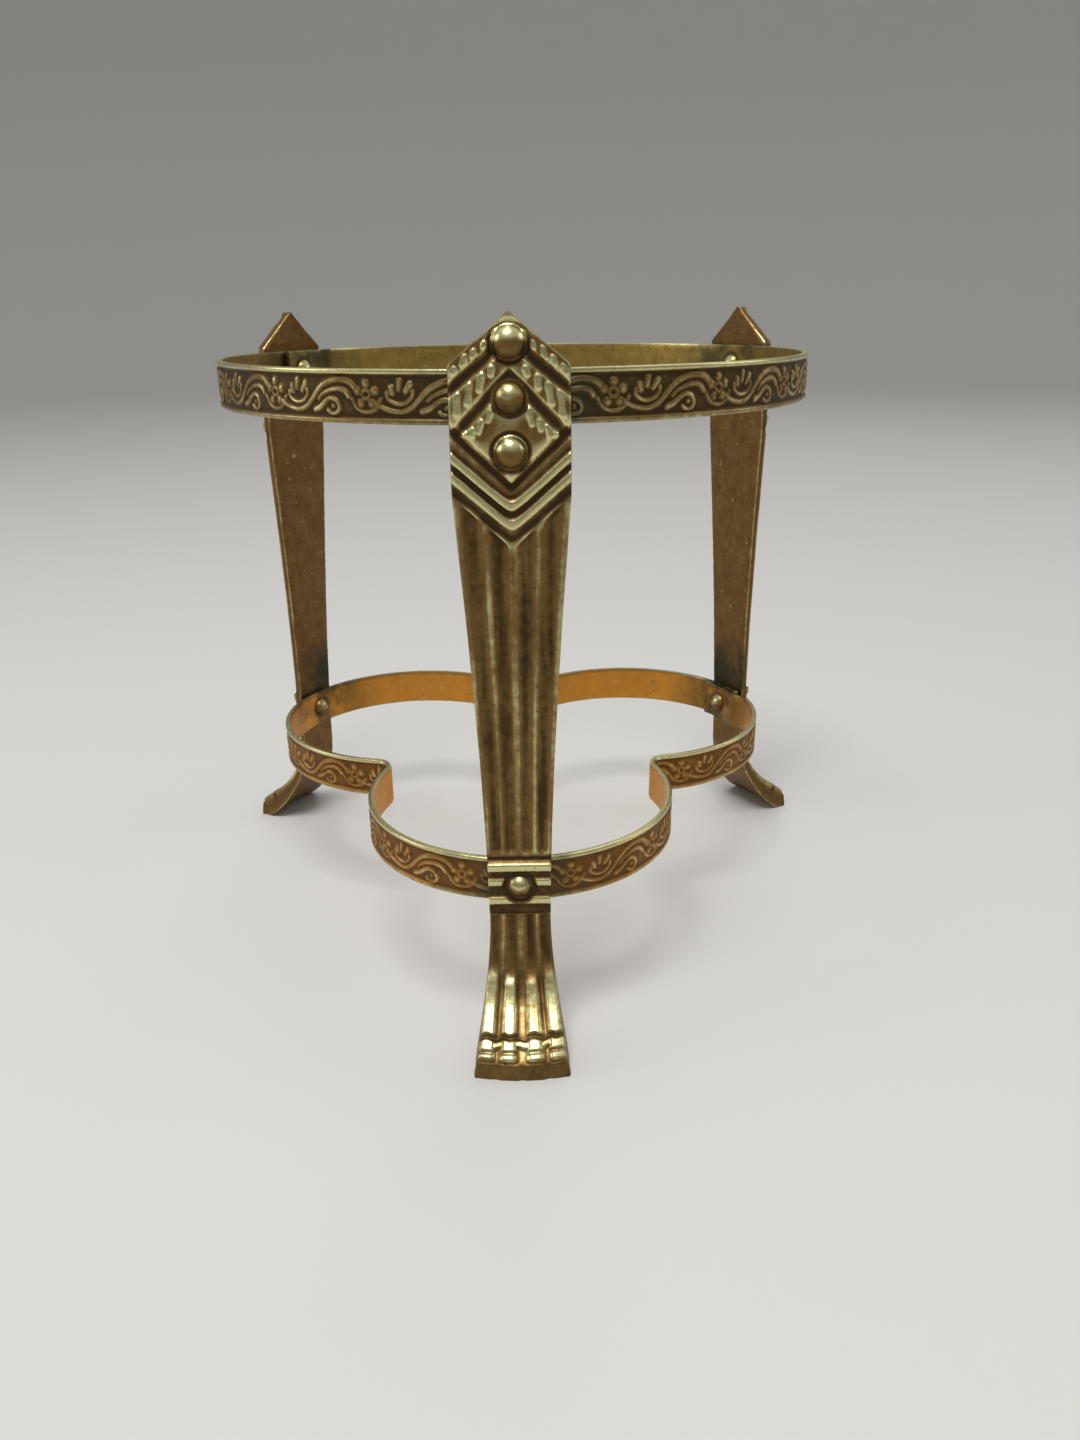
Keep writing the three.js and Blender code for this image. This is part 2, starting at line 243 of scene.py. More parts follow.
def to_metres(points, azimuth=0.0):
    """Points in mm about the stand's axis, turned by azimuth degrees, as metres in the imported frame."""
    turn = math.radians(azimuth)
    x = points[..., 0] * math.cos(turn) - points[..., 1] * math.sin(turn)
    y = points[..., 0] * math.sin(turn) + points[..., 1] * math.cos(turn) + AXIS_Y
    return np.stack([x, y, points[..., 2]], axis=-1) * MM


def skin(name, rings, attributes, material):
    """A closed mesh through rings of points, capped at both ends, with each attribute's value per point."""
    rows, count = rings.shape[:2]
    here = np.arange(rows * count).reshape(rows, count)
    beside = np.roll(here, -1, axis=1)
    quads = np.stack([here[:-1], here[1:], beside[1:], beside[:-1]], axis=-1).reshape(-1, 4)
    faces = quads.tolist() + [here[0].tolist(), here[-1][::-1].tolist()]
    mesh = bpy.data.meshes.new(name)
    mesh.from_pydata(rings.reshape(-1, 3).tolist(), [], faces)
    for key, values in attributes.items():
        layer = mesh.attributes.new(key, "FLOAT", "POINT")
        layer.data.foreach_set("value", np.asarray(values, np.float32).ravel())
    mesh.shade_smooth()
    mesh.set_sharp_from_angle(angle=SHARP_ANGLE)
    mesh.materials.append(material)
    piece = bpy.data.objects.new(name, mesh)
    bpy.context.scene.collection.objects.link(piece)
    return piece


def stand_for(piece, node):
    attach(piece, "root")
    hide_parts(node)


# The leg: reach is the distance from the stand's axis, across runs along +Y of the leg's own frame.
CURVE_STEPS = 200
FACE_ROUNDING = 0.3
BACK_ROUNDING = 0.2
SOLE_INSET = 0.5
OUTLINE_STEPS = 60
UNDER_FLOOR_Z = -1.0
FOOT_OUTLINE = ((1.0, TOE_HALF_WIDTH), (8.0, TOE_HALF_WIDTH - 1.4), (17.0, ANKLE[1]), ANKLE)
TIP_ROUNDING = 0.5
TIP_BLEND = 1.5
SHOULDER_SHARPNESS = 6.0


def back_reach(z):
    return BAND_OUTER_UPPER + LEG_CLEAR + (UPPER_BAND_Z - z) * LEAN


def face_reach(z):
    return back_reach(z) + LEG_THICKNESS


def face_line():
    """Down the face from the tip to the floor, as reach and height."""
    start = (face_reach(INSTEP_Z), INSTEP_Z)
    instep = bezier([start, *INSTEP_BENDS, (TOE_REACH, TOE_HEIGHT)], CURVE_STEPS)
    shaft = [(face_reach(HEIGHT), HEIGHT)]
    return rounded(np.vstack([shaft, instep, [(TOE_REACH, 0.0)]]), FACE_ROUNDING)


def back_line():
    """Down the back, under the arch and along the sole."""
    arch_top = INSTEP_Z - LEG_THICKNESS
    heel = (TOE_REACH - SOLE_DEPTH, 0.0)
    arch = bezier([(back_reach(arch_top), arch_top), *ARCH_BENDS, heel], CURVE_STEPS)
    shaft = [(back_reach(HEIGHT), HEIGHT)]
    return rounded(np.vstack([shaft, arch, [(TOE_REACH - SOLE_INSET, 0.0)]]), BACK_ROUNDING)


def side_half_width(z):
    """Half the width between the sides: the splayed foot, the ankle, the taper and the head."""
    foot = bezier(FOOT_OUTLINE, OUTLINE_STEPS)
    t = np.linspace(0, 1, OUTLINE_STEPS)[1:, None]
    taper = (1 - t) ** 2 * np.array(ANKLE) + 2 * (1 - t) * t * np.array(TAPER_BEND)
    taper = taper + t**2 * np.array((HEAD_FOOT_Z, HEAD_HALF_WIDTH))
    ends = ([(UNDER_FLOOR_Z, TOE_HALF_WIDTH)], [(HEAD_SHOULDER_Z, HEAD_HALF_WIDTH)])
    line = np.vstack([ends[0], foot, taper, ends[1]])
    return np.interp(z, line[:, 0], line[:, 1])


def gable_half_width(z):
    """Half the width of the pointed top, rounded at its tip."""
    slope = HEAD_HALF_WIDTH / (HEIGHT - HEAD_SHOULDER_Z)
    below_tip = np.clip(HEIGHT - z, 0, None)
    gable = np.sqrt((slope * below_tip) ** 2 + 2 * TIP_ROUNDING * below_tip)
    return gable - TIP_ROUNDING / slope * (1 - np.exp(-below_tip / TIP_BLEND))


def outline_half_width(z):
    """Half the leg's width: a soft minimum rounds the shoulder between the gable and the sides."""
    side = np.exp(-SHOULDER_SHARPNESS * side_half_width(z))
    gable = np.exp(-SHOULDER_SHARPNESS * gable_half_width(z))
    return -np.log(side + gable) / SHOULDER_SHARPNESS


# The head's chased strokes as (across, height, length, width, lean), on both sides of the middle.
HEAD_STROKES = [
    *[(2.7 + 1.8 * i, 145.9 - 1.42 * i, 2.6, 1.75, 0.45) for i in range(5)],
    (3.1, 139.9, 3.0, 1.8, 0.3),
    (5.1, 138.0, 4.0, 1.9, 0.25),
    (7.3, 135.9, 4.7, 2.0, 0.2),
    (9.5, 134.0, 4.8, 1.9, 0.15),
    (3.7, 132.0, 3.6, 1.6, 0.35),
    (5.3, 130.5, 3.4, 1.6, 0.3),
    (6.9, 129.4, 2.7, 1.5, 0.3),
    (8.4, 128.8, 1.9, 1.3, 0.3),
]
STROKE_STRAY = (0.18, 0.25, 0.2, 0.14, 0.18)  # across, up, in length, in lean and in how deep it is struck
STROKE_PRESS = 0.82
STROKES_SEED_STEP = 5
STROKE_RELIEF = 0.36
HEAD_PLATE = 0.35
PLATE_EDGE = 0.6
LOZENGE_FOOT_Z = 119.6
LOZENGE_SLOPE = 0.92
POINT_ROUNDING = 0.2
GROOVE_HALF_WIDTH = 1.2
GROOVE_DEPTH = 0.5
INVERTED_GROOVES = ((145.5, 0.8), (139.2, 1.0))  # height of the point and slope
INVERTED_GROOVE_DEPTH = 0.25
V_SLOPE = 0.88
V_POINT_ROUNDING = 1.0
V_POINT_SINK = 0.4
V_POINTS_Z = (115.5, 112.0)
V_HALF_HEIGHT = 1.45
V_RELIEF = 0.6
UNDER_VS = (109.3, 1.4)
UNDER_VS_DEPTH = 0.35
UPPER_SEAT = (3.2, 3.9)
MOAT = (3.4, 0.9)
MOAT_DEPTH = 0.3


def leaf_strokes(across, z, seed):
    """Chased leaf-like strokes, a little uneven on each side."""
    random = np.random.RandomState(seed)
    relief = np.zeros_like(across)
    for side in (-1, 1):
        for middle, height, length, width, lean in HEAD_STROKES:
            shift, lift, stretch, turn, press = STROKE_STRAY * random.uniform(-1, 1, 5)
            half = (length * (1 + stretch) - width) / 2
            x = side * (middle + shift)
            y = height + lift
            slant = side * (lean + turn)
            ends = ((x - slant * half, y + half), (x + slant * half, y - half))
            away = distance_to_stroke(across, z, ends) / (width / 2)
            relief = np.maximum(relief, (STROKE_PRESS + press) * flat_profile(away))
    return relief


def on_plate(side, z):
    """1 on the head's raised plate, which ends below in a point."""
    return smooth_step(z - LOZENGE_SLOPE * side, LOZENGE_FOOT_Z, LOZENGE_FOOT_Z + PLATE_EDGE)


def groove(height, slope):
    """A groove along a line of this slope, by the height above or below the line."""
    away = height / math.hypot(1, slope) / GROOVE_HALF_WIDTH
    return np.clip(1 - away**2, 0, 1)


def head_relief(across, z, seed):
    """The pointed head: a plate with grooves and chased strokes, and two raised Vs under it."""
    side = np.sqrt(across**2 + POINT_ROUNDING**2)
    plate = on_plate(side, z)
    relief = HEAD_PLATE * plate
    relief += STROKE_RELIEF * plate * leaf_strokes(across, z, seed)
    for apex, slope in INVERTED_GROOVES:
        inverted = groove(z + slope * side - apex, slope)
        relief = relief * (1 - plate * inverted) - plate * INVERTED_GROOVE_DEPTH * inverted
    relief -= GROOVE_DEPTH * groove(z - LOZENGE_SLOPE * side - LOZENGE_FOOT_Z, LOZENGE_SLOPE)
    soft_side = np.sqrt(across**2 + V_POINT_ROUNDING**2) - V_POINT_SINK
    arm = z - V_SLOPE * soft_side
    for apex in V_POINTS_Z:
        relief += V_RELIEF * flat_profile((arm - apex) / V_HALF_HEIGHT)
    return relief - UNDER_VS_DEPTH * bump(arm, *UNDER_VS)


def from_bead(across, z, direction):
    """Distance from the middle of the bead above or below the upper rivet."""
    return np.hypot(across, z - UPPER_BAND_Z - direction * BEAD_PITCH)


def bead_share(across, z):
    """From 0 at the foot of each domed bead to 1 at its top."""
    share = np.zeros_like(across)
    for direction in (-1, 1):
        share = np.maximum(share, np.clip(1 - from_bead(across, z, direction) / BEAD_RADIUS, 0, 1))
    return share


def set_beads(relief, across, z):
    """Two domed beads, and the flat seat of the rivet between them."""
    relief = relief * smooth_step(np.hypot(across, z - UPPER_BAND_Z), *UPPER_SEAT)
    for direction in (-1, 1):
        away = from_bead(across, z, direction)
        relief = relief - MOAT_DEPTH * bump(away, *MOAT)
        dome = np.sqrt(np.clip(BEAD_RADIUS**2 - away**2, 0, None)) - BEAD_SINK
        relief = np.where(away < BEAD_RADIUS, np.maximum(relief, dome), relief)
    return relief


# The shaft's flutes, with middles and half widths as shares of the leg's half width.
FLUTE_DEPTH = 0.6
FLUTE_MIDDLES = (0.255, 0.71)
FLUTE_HALF_WIDTH = 0.195
FLUTES_FOOT_Z = 44.3
FLUTES_POINT_Z = 108.2
FLUTES_POINT_EDGE = 0.6


def arm_height(across, z):
    """The same all along a line parallel to the raised Vs."""
    return z - V_SLOPE * np.abs(across)


def shaft_relief(across, z, half):
    """Four shallow flutes with rounded lower ends, cut off by a V under the head."""
    share = np.abs(across) / half
    limit = smooth_step(FLUTES_POINT_Z - arm_height(across, z), 0, FLUTES_POINT_EDGE)
    relief = np.zeros_like(share)
    for middle in FLUTE_MIDDLES:
        radius = FLUTE_HALF_WIDTH * half
        beyond_end = np.clip(FLUTES_FOOT_Z + radius - z, 0, None) / radius
        away = np.hypot((share - middle) / FLUTE_HALF_WIDTH, beyond_end)
        relief -= FLUTE_DEPTH * hollow_profile(away)
    return relief * limit


# The collar. Each bar is its middle height, half its height and its relief.
COLLAR_FOOT = (30.05, 30.5)
COLLAR_TOP = (42.3, 42.7)
COLLAR_RELIEF = 0.4
COLLAR_BARS = ((41.2, 1.4, 1.2), (37.7, 1.2, 0.95), (33.4, 1.25, 0.95))
LOWER_SEAT = (3.0, 3.7)
LOWER_SEAT_TOP_Z = 40.0


def collar_relief(across, z):
    """A raised collar with three bars, two of them broken by the rivet's seat."""
    relief = COLLAR_RELIEF * within(z, COLLAR_FOOT, COLLAR_TOP)
    seat = smooth_step(np.hypot(across, z - LOWER_BAND_Z), *LOWER_SEAT)
    for middle, half_height, height in COLLAR_BARS:
        bar = (height - COLLAR_RELIEF) * flat_profile((z - middle) / half_height)
        relief += bar * (seat if middle < LOWER_SEAT_TOP_Z else 1)
    return relief


# The foot, by the distance below the top of the instep along the face.
ANKLE_FLUTES = (0.3, 0.82)
ANKLE_FLUTE_HALF = 0.235
ANKLE_DEPTH = 0.5
ANKLE_TOP = (-3.9, -3.0)
ANKLE_END = (5.0, 11.0)
PAW_START = (7.0, 11.0)
PAW_SINK = 0.35
PAW_SKEW = 0.25
TOE_MIDDLES = (0.31, 0.82)
TOE_HALF = 0.25
TOE_STARTS = (8.6, 7.2)
TOE_RISE = 4.0
TOE_DROOP = 0.12
TOE_RELIEF = 0.8
TOE_CREASE = 23.4
CREASE_WAVE = 0.22
CREASE_WAVE_RATE = 1.9
CREASE = (0.0, 0.95)
CREASE_CUT = 0.85
KNUCKLE_HEIGHT = 0.72
KNUCKLE_START = (0.4, 1.1)
KNUCKLE_END = (2.0, 2.8)
TOE_GROOVE = (26.8, 0.6)
TOE_GROOVE_CUT = 0.5
TOES_END = (28.2, 29.0)
FOOT_FRONT = (28.6, 29.8)
FRONT_SINK = 0.15
FRONT_NICKS = ((0.56, 0.12), (0.0, 0.1))
FRONT_NICK_DEPTH = 0.2


def ankle_share(across, below, half):
    """From 0 on the ridges of the ankle to 1 along its flutes."""
    share = np.abs(across) / half
    depth = np.zeros_like(share)
    for middle in ANKLE_FLUTES:
        depth += hollow_profile((share - middle) / ANKLE_FLUTE_HALF)
    return depth * within(below, ANKLE_TOP, ANKLE_END)


def along_paw(across, below, half):
    """Distance below the instep's top, skewed so that the toes are not quite level."""
    return below + PAW_SKEW * across / half


def past_crease(across, below, half):
    """Distance below the slightly wavy crease behind the knuckles."""
    along = along_paw(across, below, half)
    return along - TOE_CREASE - CREASE_WAVE * np.sin(CREASE_WAVE_RATE * across)


def toe_share(across, below, half):
    """From 0 in the grooves of the paw to 1 along the tops of its four toes."""
    share = np.abs(across) / half
    along = along_paw(across, below, half)
    crease = past_crease(across, below, half)
    toes = KNUCKLE_HEIGHT * within(crease, KNUCKLE_START, KNUCKLE_END)
    for middle, start in zip(TOE_MIDDLES, TOE_STARTS):
        away = (share - middle) / TOE_HALF
        toe = flat_profile(away) * smooth_step(along, start, start + TOE_RISE)
        toes = np.maximum(toes, toe * (1 - TOE_DROOP * away**2))
    toes = toes * (1 - CREASE_CUT * bump(crease, *CREASE))
    toes = toes * (1 - TOE_GROOVE_CUT * bump(along, *TOE_GROOVE))
    return toes * (1 - smooth_step(below, *TOES_END))


def foot_relief(across, below, half):
    """Ankle flutes that turn into four toes, and the nicked front under them."""
    share = np.abs(across) / half
    relief = TOE_RELIEF * toe_share(across, below, half)
    relief -= PAW_SINK * within(below, PAW_START, FOOT_FRONT)
    relief -= ANKLE_DEPTH * ankle_share(across, below, half)
    sunk = FRONT_SINK + sum(FRONT_NICK_DEPTH * bump(share, *nick) for nick in FRONT_NICKS)
    return relief - smooth_step(below, *FOOT_FRONT) * sunk


# Wear runs from 0 in dark recesses to 1 where hands have polished the brass. The same values also carry
# painted highlights and painted shade: on the beads, on the bands' rims, round the rivet heads and on the
# rivets' under halves.
WEAR_BLUR = 4.0
HEAD_WEAR = 0.45
HEAD_WEAR_GAIN = 1.9
PLATE_WEAR = 0.1
TIP_WEAR = 0.95
TIP_SHARE = 0.8
TIP_Z = (146.5, 149.0)
# The beads' wear rises from their lower halves to their tops: a painted highlight above and painted shade
# below.
BEAD_WEAR_AND_PAINTED_HIGHLIGHT = (0.42, 1.0)
BEAD_PAINTED_HIGHLIGHT_RISE = (-0.25, 0.55)
PATCHES = (0.12, 2.2, 43)
STREAKS = (0.18, 0.9, 41)
STREAK_SQUEEZE = 0.05
SHAFT_WEAR = 0.6
FLUTE_WEAR = 0.34
SHAFT_WEAR_FOOT = (43.0, 44.5)
SHAFT_WEAR_POINT = (106.0, 108.5)
COLLAR_WEAR = 0.22
BAR_WEAR = 0.66
# Painted shade in a ring round the rivet head.
RIVET_PAINTED_SHADE_RING = (3.1, 1.1)
RIVET_RING_PAINTED_SHADE = 0.2
COLLAR_WEAR_FOOT = (29.6, 30.0)
COLLAR_WEAR_TOP = (42.8, 43.2)
ANKLE_WEAR = 0.62
ANKLE_FLUTE_WEAR = 0.33
PAW_WEAR = 0.47
TOE_WEAR = 0.28
PAW_PATCHES = 1.5
CREASE_WEAR = 0.3
WORN_CREASE = (0.0, 1.1)
PAW_WEAR_START = (6.0, 11.0)
FRONT_WEAR = 0.34
FOOT_WEAR_TOP = (-4.2, -3.6)


def worn_from(relief, gain, level):
    """Wear by how far each point stands out from what is round it."""
    around = blur(blur(relief, WEAR_BLUR, 0), WEAR_BLUR, 1)
    return np.clip(level + gain * (relief - around), 0, 1)


def bead_wear_and_painted_highlight(z):
    """Beads are worn, with a painted highlight on the upper half and painted shade on the lower half."""
    from_rivet = z - UPPER_BAND_Z
    up = from_rivet - BEAD_PITCH * np.sign(from_rivet)
    return towards(*BEAD_WEAR_AND_PAINTED_HIGHLIGHT, smooth_step(up / BEAD_RADIUS, *BEAD_PAINTED_HIGHLIGHT_RISE))


def head_wear_and_painted_light(across, z, relief, patches):
    """High spots, the tip and the beads are bright, the beads with a painted highlight on top and painted
    shade below.
    """
    wear_and_painted_light = worn_from(relief, HEAD_WEAR_GAIN, HEAD_WEAR) + patches
    wear_and_painted_light = wear_and_painted_light + PLATE_WEAR * on_plate(np.abs(across), z)
    wear_and_painted_light = towards(wear_and_painted_light, TIP_WEAR, TIP_SHARE * smooth_step(z, *TIP_Z))
    return np.where(bead_share(across, z) > 0, bead_wear_and_painted_highlight(z), wear_and_painted_light)


def collar_wear_and_painted_shade(across, z):
    """Rubbed bars on a dark ground, darkest in a ring of painted shade round the rivet."""
    bars = np.zeros_like(z)
    for middle, half_height, _ in COLLAR_BARS:
        bars = np.maximum(bars, flat_profile((z - middle) / half_height))
    # Painted shade in a ring round the rivet head.
    ring = bump(np.hypot(across, z - LOWER_BAND_Z), *RIVET_PAINTED_SHADE_RING)
    return COLLAR_WEAR + BAR_WEAR * bars * (1 - ring) - RIVET_RING_PAINTED_SHADE * ring


def foot_wear(across, below, half, streaks, patches):
    """A dull ankle, bright toes and a dark front."""
    ankle = ANKLE_WEAR - ANKLE_FLUTE_WEAR * ankle_share(across, below, half) + streaks
    paw = PAW_WEAR + TOE_WEAR * toe_share(across, below, half) + streaks + PAW_PATCHES * patches
    paw -= CREASE_WEAR * bump(past_crease(across, below, half), *WORN_CREASE)
    wear_and_painted_light = towards(ankle, paw, smooth_step(below, *PAW_WEAR_START))
    return towards(wear_and_painted_light, FRONT_WEAR, smooth_step(below, *TOES_END))


def leg_wear_and_painted_light(across, z, below, half, relief, flutes, seed):
    """The wear of the whole face, part by part, with the beads' painted highlight and painted shade round
    the rivet.
    """
    patches = uneven(across, z, PATCHES, seed)
    streaks = uneven(across, STREAK_SQUEEZE * z, STREAKS, seed)
    wear_and_painted_light = head_wear_and_painted_light(across, z, relief, patches)
    under_head = 1 - smooth_step(arm_height(across, z), *SHAFT_WEAR_POINT)
    on_shaft = smooth_step(z, *SHAFT_WEAR_FOOT) * under_head
    wear_and_painted_light = towards(wear_and_painted_light, SHAFT_WEAR + FLUTE_WEAR * flutes / FLUTE_DEPTH + streaks, on_shaft)
    wear_and_painted_light = towards(wear_and_painted_light, collar_wear_and_painted_shade(across, z), within(z, COLLAR_WEAR_FOOT, COLLAR_WEAR_TOP))
    foot = foot_wear(across, below, half, streaks, patches)
    return np.clip(towards(wear_and_painted_light, foot, smooth_step(below, *FOOT_WEAR_TOP)), 0, 1)


# The leg's mesh.
FACE_COLUMNS = 91
BACK_COLUMNS = 25
SIDE_POINTS = 2
LEG_STEP = 0.26
FIRST_STATION = 0.03
TANGENT_STEP = 0.05
WANDER = (0.07, 9.0, 0)
WANDER_ROW = 3.0
STEADY_TIP = 4.0
HEAD_FADE = (106.0, 108.0)
FLUTES_FADE = (43.0, 44.0)
LUMPS = (0.045, 2.6, 11)
SMALL_LUMPS = (0.012, 0.9, 23)
BEAD_SMOOTHNESS = 0.8
BEAD_EDGE = 0.2
FACE_EDGE_RADIUS = 0.5
FACE_EDGE_START = (0.2, 2.0)
FRONT_FLATTENS = (28.5, 29.8)
FRONT_RELIEF = 0.6
PAW_BOW = 1.3
PAW_BOWS = (16.0, 29.0)
EDGE_GLEAM = 0.12
EDGE_GLEAM_WIDTH = 0.9
EDGE_GLEAM_FOOT = (118.0, 122.0)
SIDE_WEAR = 0.3
SIDE_PLAIN = 0.5
BACK_PITS = (0.10, 3.2, 31)
BACK_EDGE = 0.35
BACK_EDGE_POWER = 24
BACK_NARROWS = 0.01
ARCH_Z = 23.0
ARCH_LIFT = 0.35
ARCH_LIFT_Z = (0.3, 3.0)
BACK_WEAR = 0.35
BACK_EDGE_WEAR = 0.4
BACK_EDGE_WEAR_POWER = 14
BACK_STAIN = (46.5, 13.0)


def leg_stations():
    """Points down the face, its normal, the points down the back, and how far below the instep's top."""
    face = face_line()
    back = back_line()
    face_length = distances_along(face)[-1]
    back_length = distances_along(back)[-1]
    down = np.linspace(FIRST_STATION, face_length, int(face_length / LEG_STEP))
    instep_start = (HEIGHT - INSTEP_Z) * math.hypot(1, LEAN)
    ahead = at_distances(face, np.clip(down + TANGENT_STEP, 0, face_length))
    behind = at_distances(face, np.clip(down - TANGENT_STEP, 0, face_length))
    tangent = (ahead - behind) / np.linalg.norm(ahead - behind, axis=1)[:, None]
    normal = np.stack([-tangent[:, 1], tangent[:, 0]], axis=1)
    foot_share = np.clip((down - instep_start) / (face_length - instep_start), 0, 1)
    back_down = np.minimum(down, instep_start) + foot_share * (back_length - instep_start)
    below = (down - instep_start)[:, None]
    return at_distances(face, down), normal, at_distances(back, back_down), below


def paw_bow(share, below):
    """How far the paw curves back towards its sides."""
    return PAW_BOW * share**2 * smooth_step(below, *PAW_BOWS)


def finish_relief(relief, across, z, below, half, seed):
    """Casting lumps, rounded edges, and a front that flattens towards the floor."""
    down_face = z - below * (below > 0)
    lumps = uneven(across, down_face, LUMPS, seed) + uneven(across, down_face, SMALL_LUMPS, seed)
    relief = relief + lumps * (1 - BEAD_SMOOTHNESS * smooth_step(bead_share(across, z), 0.0, BEAD_EDGE))
    from_edge = np.clip(FACE_EDGE_RADIUS - (half - np.abs(across)), 0, FACE_EDGE_RADIUS)
    rounding = FACE_EDGE_RADIUS - np.sqrt(FACE_EDGE_RADIUS**2 - from_edge**2)
    relief = relief - rounding * smooth_step(HEIGHT - z, *FACE_EDGE_START)
    front = smooth_step(below, *FRONT_FLATTENS)
    return np.where(front > 0, np.minimum(relief, (1 - front) * FRONT_RELIEF), relief)


def leg_face(on_face, normal, below, wander, seed):
    """Points across the ornamented face, and their wear."""
    share = np.linspace(-1, 1, FACE_COLUMNS)[None, :]
    z = on_face[:, 1:] + 0 * share
    half = outline_half_width(on_face[:, 1])[:, None] + wander
    across = half * share
    relief = head_relief(across, z, seed + STROKES_SEED_STEP) * smooth_step(z, *HEAD_FADE)
    relief = set_beads(relief, across, z)
    flutes = shaft_relief(across, z, half) * smooth_step(z, *FLUTES_FADE)
    relief = relief + flutes + collar_relief(across, z) + foot_relief(across, below, half)
    wear_and_painted_light = leg_wear_and_painted_light(across, z, below, half, relief, flutes, seed)
    edge = soft_profile((half - np.abs(across)) / EDGE_GLEAM_WIDTH) * smooth_step(z, *EDGE_GLEAM_FOOT)
    relief = finish_relief(relief, across, z, below, half, seed)
    reach = on_face[:, :1] + normal[:, :1] * relief - paw_bow(share, below)
    points = np.stack([reach, across, z + normal[:, 1:] * relief], axis=-1)
    return points, np.clip(wear_and_painted_light + EDGE_GLEAM * edge, 0, 1)


def leg_back(on_back, below, wander, seed):
    """Points across the plain rough back, with their wear and stain."""
    share = np.linspace(1, -1, BACK_COLUMNS)[None, :]
    across = (outline_half_width(on_back[:, 1])[:, None] + wander) * share
    z = on_back[:, 1:] + 0 * share
    pits = BACK_PITS[0] + uneven(across, z - 2 * below, BACK_PITS, seed)
    at_edge = np.abs(share) ** BACK_EDGE_POWER
    reach = on_back[:, :1] + pits + BACK_EDGE * at_edge - paw_bow(share, below)
    lift = np.where(on_back[:, 1:] < ARCH_Z, ARCH_LIFT, 0.0) * pits * smooth_step(z, *ARCH_LIFT_Z)
    points = np.stack([reach, across * (1 - BACK_NARROWS * at_edge), np.maximum(z + lift, 0.0)], axis=-1)
    wear_and_painted_light = BACK_WEAR + BACK_EDGE_WEAR * np.abs(share) ** BACK_EDGE_WEAR_POWER + 0 * z
    return points, wear_and_painted_light, bump(z, *BACK_STAIN)


def side_points(start, end):
    """Points between two edges of each ring."""
    shares = (np.arange(SIDE_POINTS) + 1) / (SIDE_POINTS + 1)
    return start[:, None, :] + (end - start)[:, None, :] * shares[None, :, None]


def leg_mesh(name, azimuth, seed, material):
    """Each ring runs across the face, over one side, across the back and over the other side."""
    on_face, normal, on_back, below = leg_stations()
    z = on_face[:, 1:]
    wander = uneven(z, 0 * z + WANDER_ROW, WANDER, seed) * smooth_step(HEIGHT - z, 0, STEADY_TIP)
    face, face_wear_and_painted_light = leg_face(on_face, normal, below, wander, seed)
    back, worn_back, stain = leg_back(on_back, below, wander, seed)
    right = side_points(face[:, -1], back[:, 0])
    left = side_points(back[:, -1], face[:, 0])
    rings = np.concatenate([face, right, back, left], axis=1)
    rings[..., 2] = np.maximum(rings[..., 2], 0.0)
    side = np.ones((len(below), SIDE_POINTS))
    parts = {
        "wear_and_painted_light": [face_wear_and_painted_light, SIDE_WEAR * side, worn_back, SIDE_WEAR * side],
        "plain": [0 * face_wear_and_painted_light, SIDE_PLAIN * side, np.ones_like(worn_back), SIDE_PLAIN * side],
        "stain": [0 * face_wear_and_painted_light, 0 * side, stain, 0 * side],
    }
    attributes = {key: np.concatenate(values, axis=1) for key, values in parts.items()}
    return skin(name, to_metres(rings, azimuth), attributes, material)


# The lines that the bands follow, as arcs of (centre, radius, start angle, turn). A negative turn
# bends the other way.
def round_line(start):
    return [((0.0, 0.0), UPPER_BAND_RADIUS, start, 2 * math.pi)]


def lobed_line(start):
    """Three lobes joined by tangent bends."""
    third = 2 * math.pi / 3
    tangent_radius = LOBE_RADIUS + BEND_RADIUS
    bend_distance = (LOBE_OFFSET + math.sqrt(4 * tangent_radius**2 - 3 * LOBE_OFFSET**2)) / 2
    arcs = []
    for i in range(3):
        leg_angle = start + i * third
        lobe = polar(LOBE_OFFSET, leg_angle)
        next_lobe = polar(LOBE_OFFSET, leg_angle + third)
        bend = polar(bend_distance, leg_angle + third / 2)
        joint = math.atan2(bend[1] - lobe[1], bend[0] - lobe[0])
        sweep = (joint - leg_angle) % (2 * math.pi)
        arcs.append((lobe, LOBE_RADIUS, leg_angle, sweep))
        arcs.append((bend, BEND_RADIUS, leg_angle + sweep - math.pi, -2 * (sweep - third / 2)))
        arcs.append((next_lobe, LOBE_RADIUS, leg_angle + third - sweep, sweep))
    return arcs


def line_length(arcs):
    return sum(radius * abs(turn) for _, radius, _, turn in arcs)


def on_line(arcs, s):
    """Points and outward directions at distances s, which may run past either end."""
    wrapped = np.mod(s, line_length(arcs))
    points = np.zeros((len(s), 2))
    outward = np.zeros((len(s), 2))
    begin = 0.0
    for centre, radius, first, turn in arcs:
        length = radius * abs(turn)
        here = (wrapped >= begin) & (wrapped <= begin + length + TINY)
        angle = first + turn * (wrapped[here] - begin) / length
        spoke = np.stack([np.cos(angle), np.sin(angle)], axis=1)
        points[here] = np.array(centre) + radius * spoke
        outward[here] = spoke * math.copysign(1, turn)
        begin += length
    return points, outward


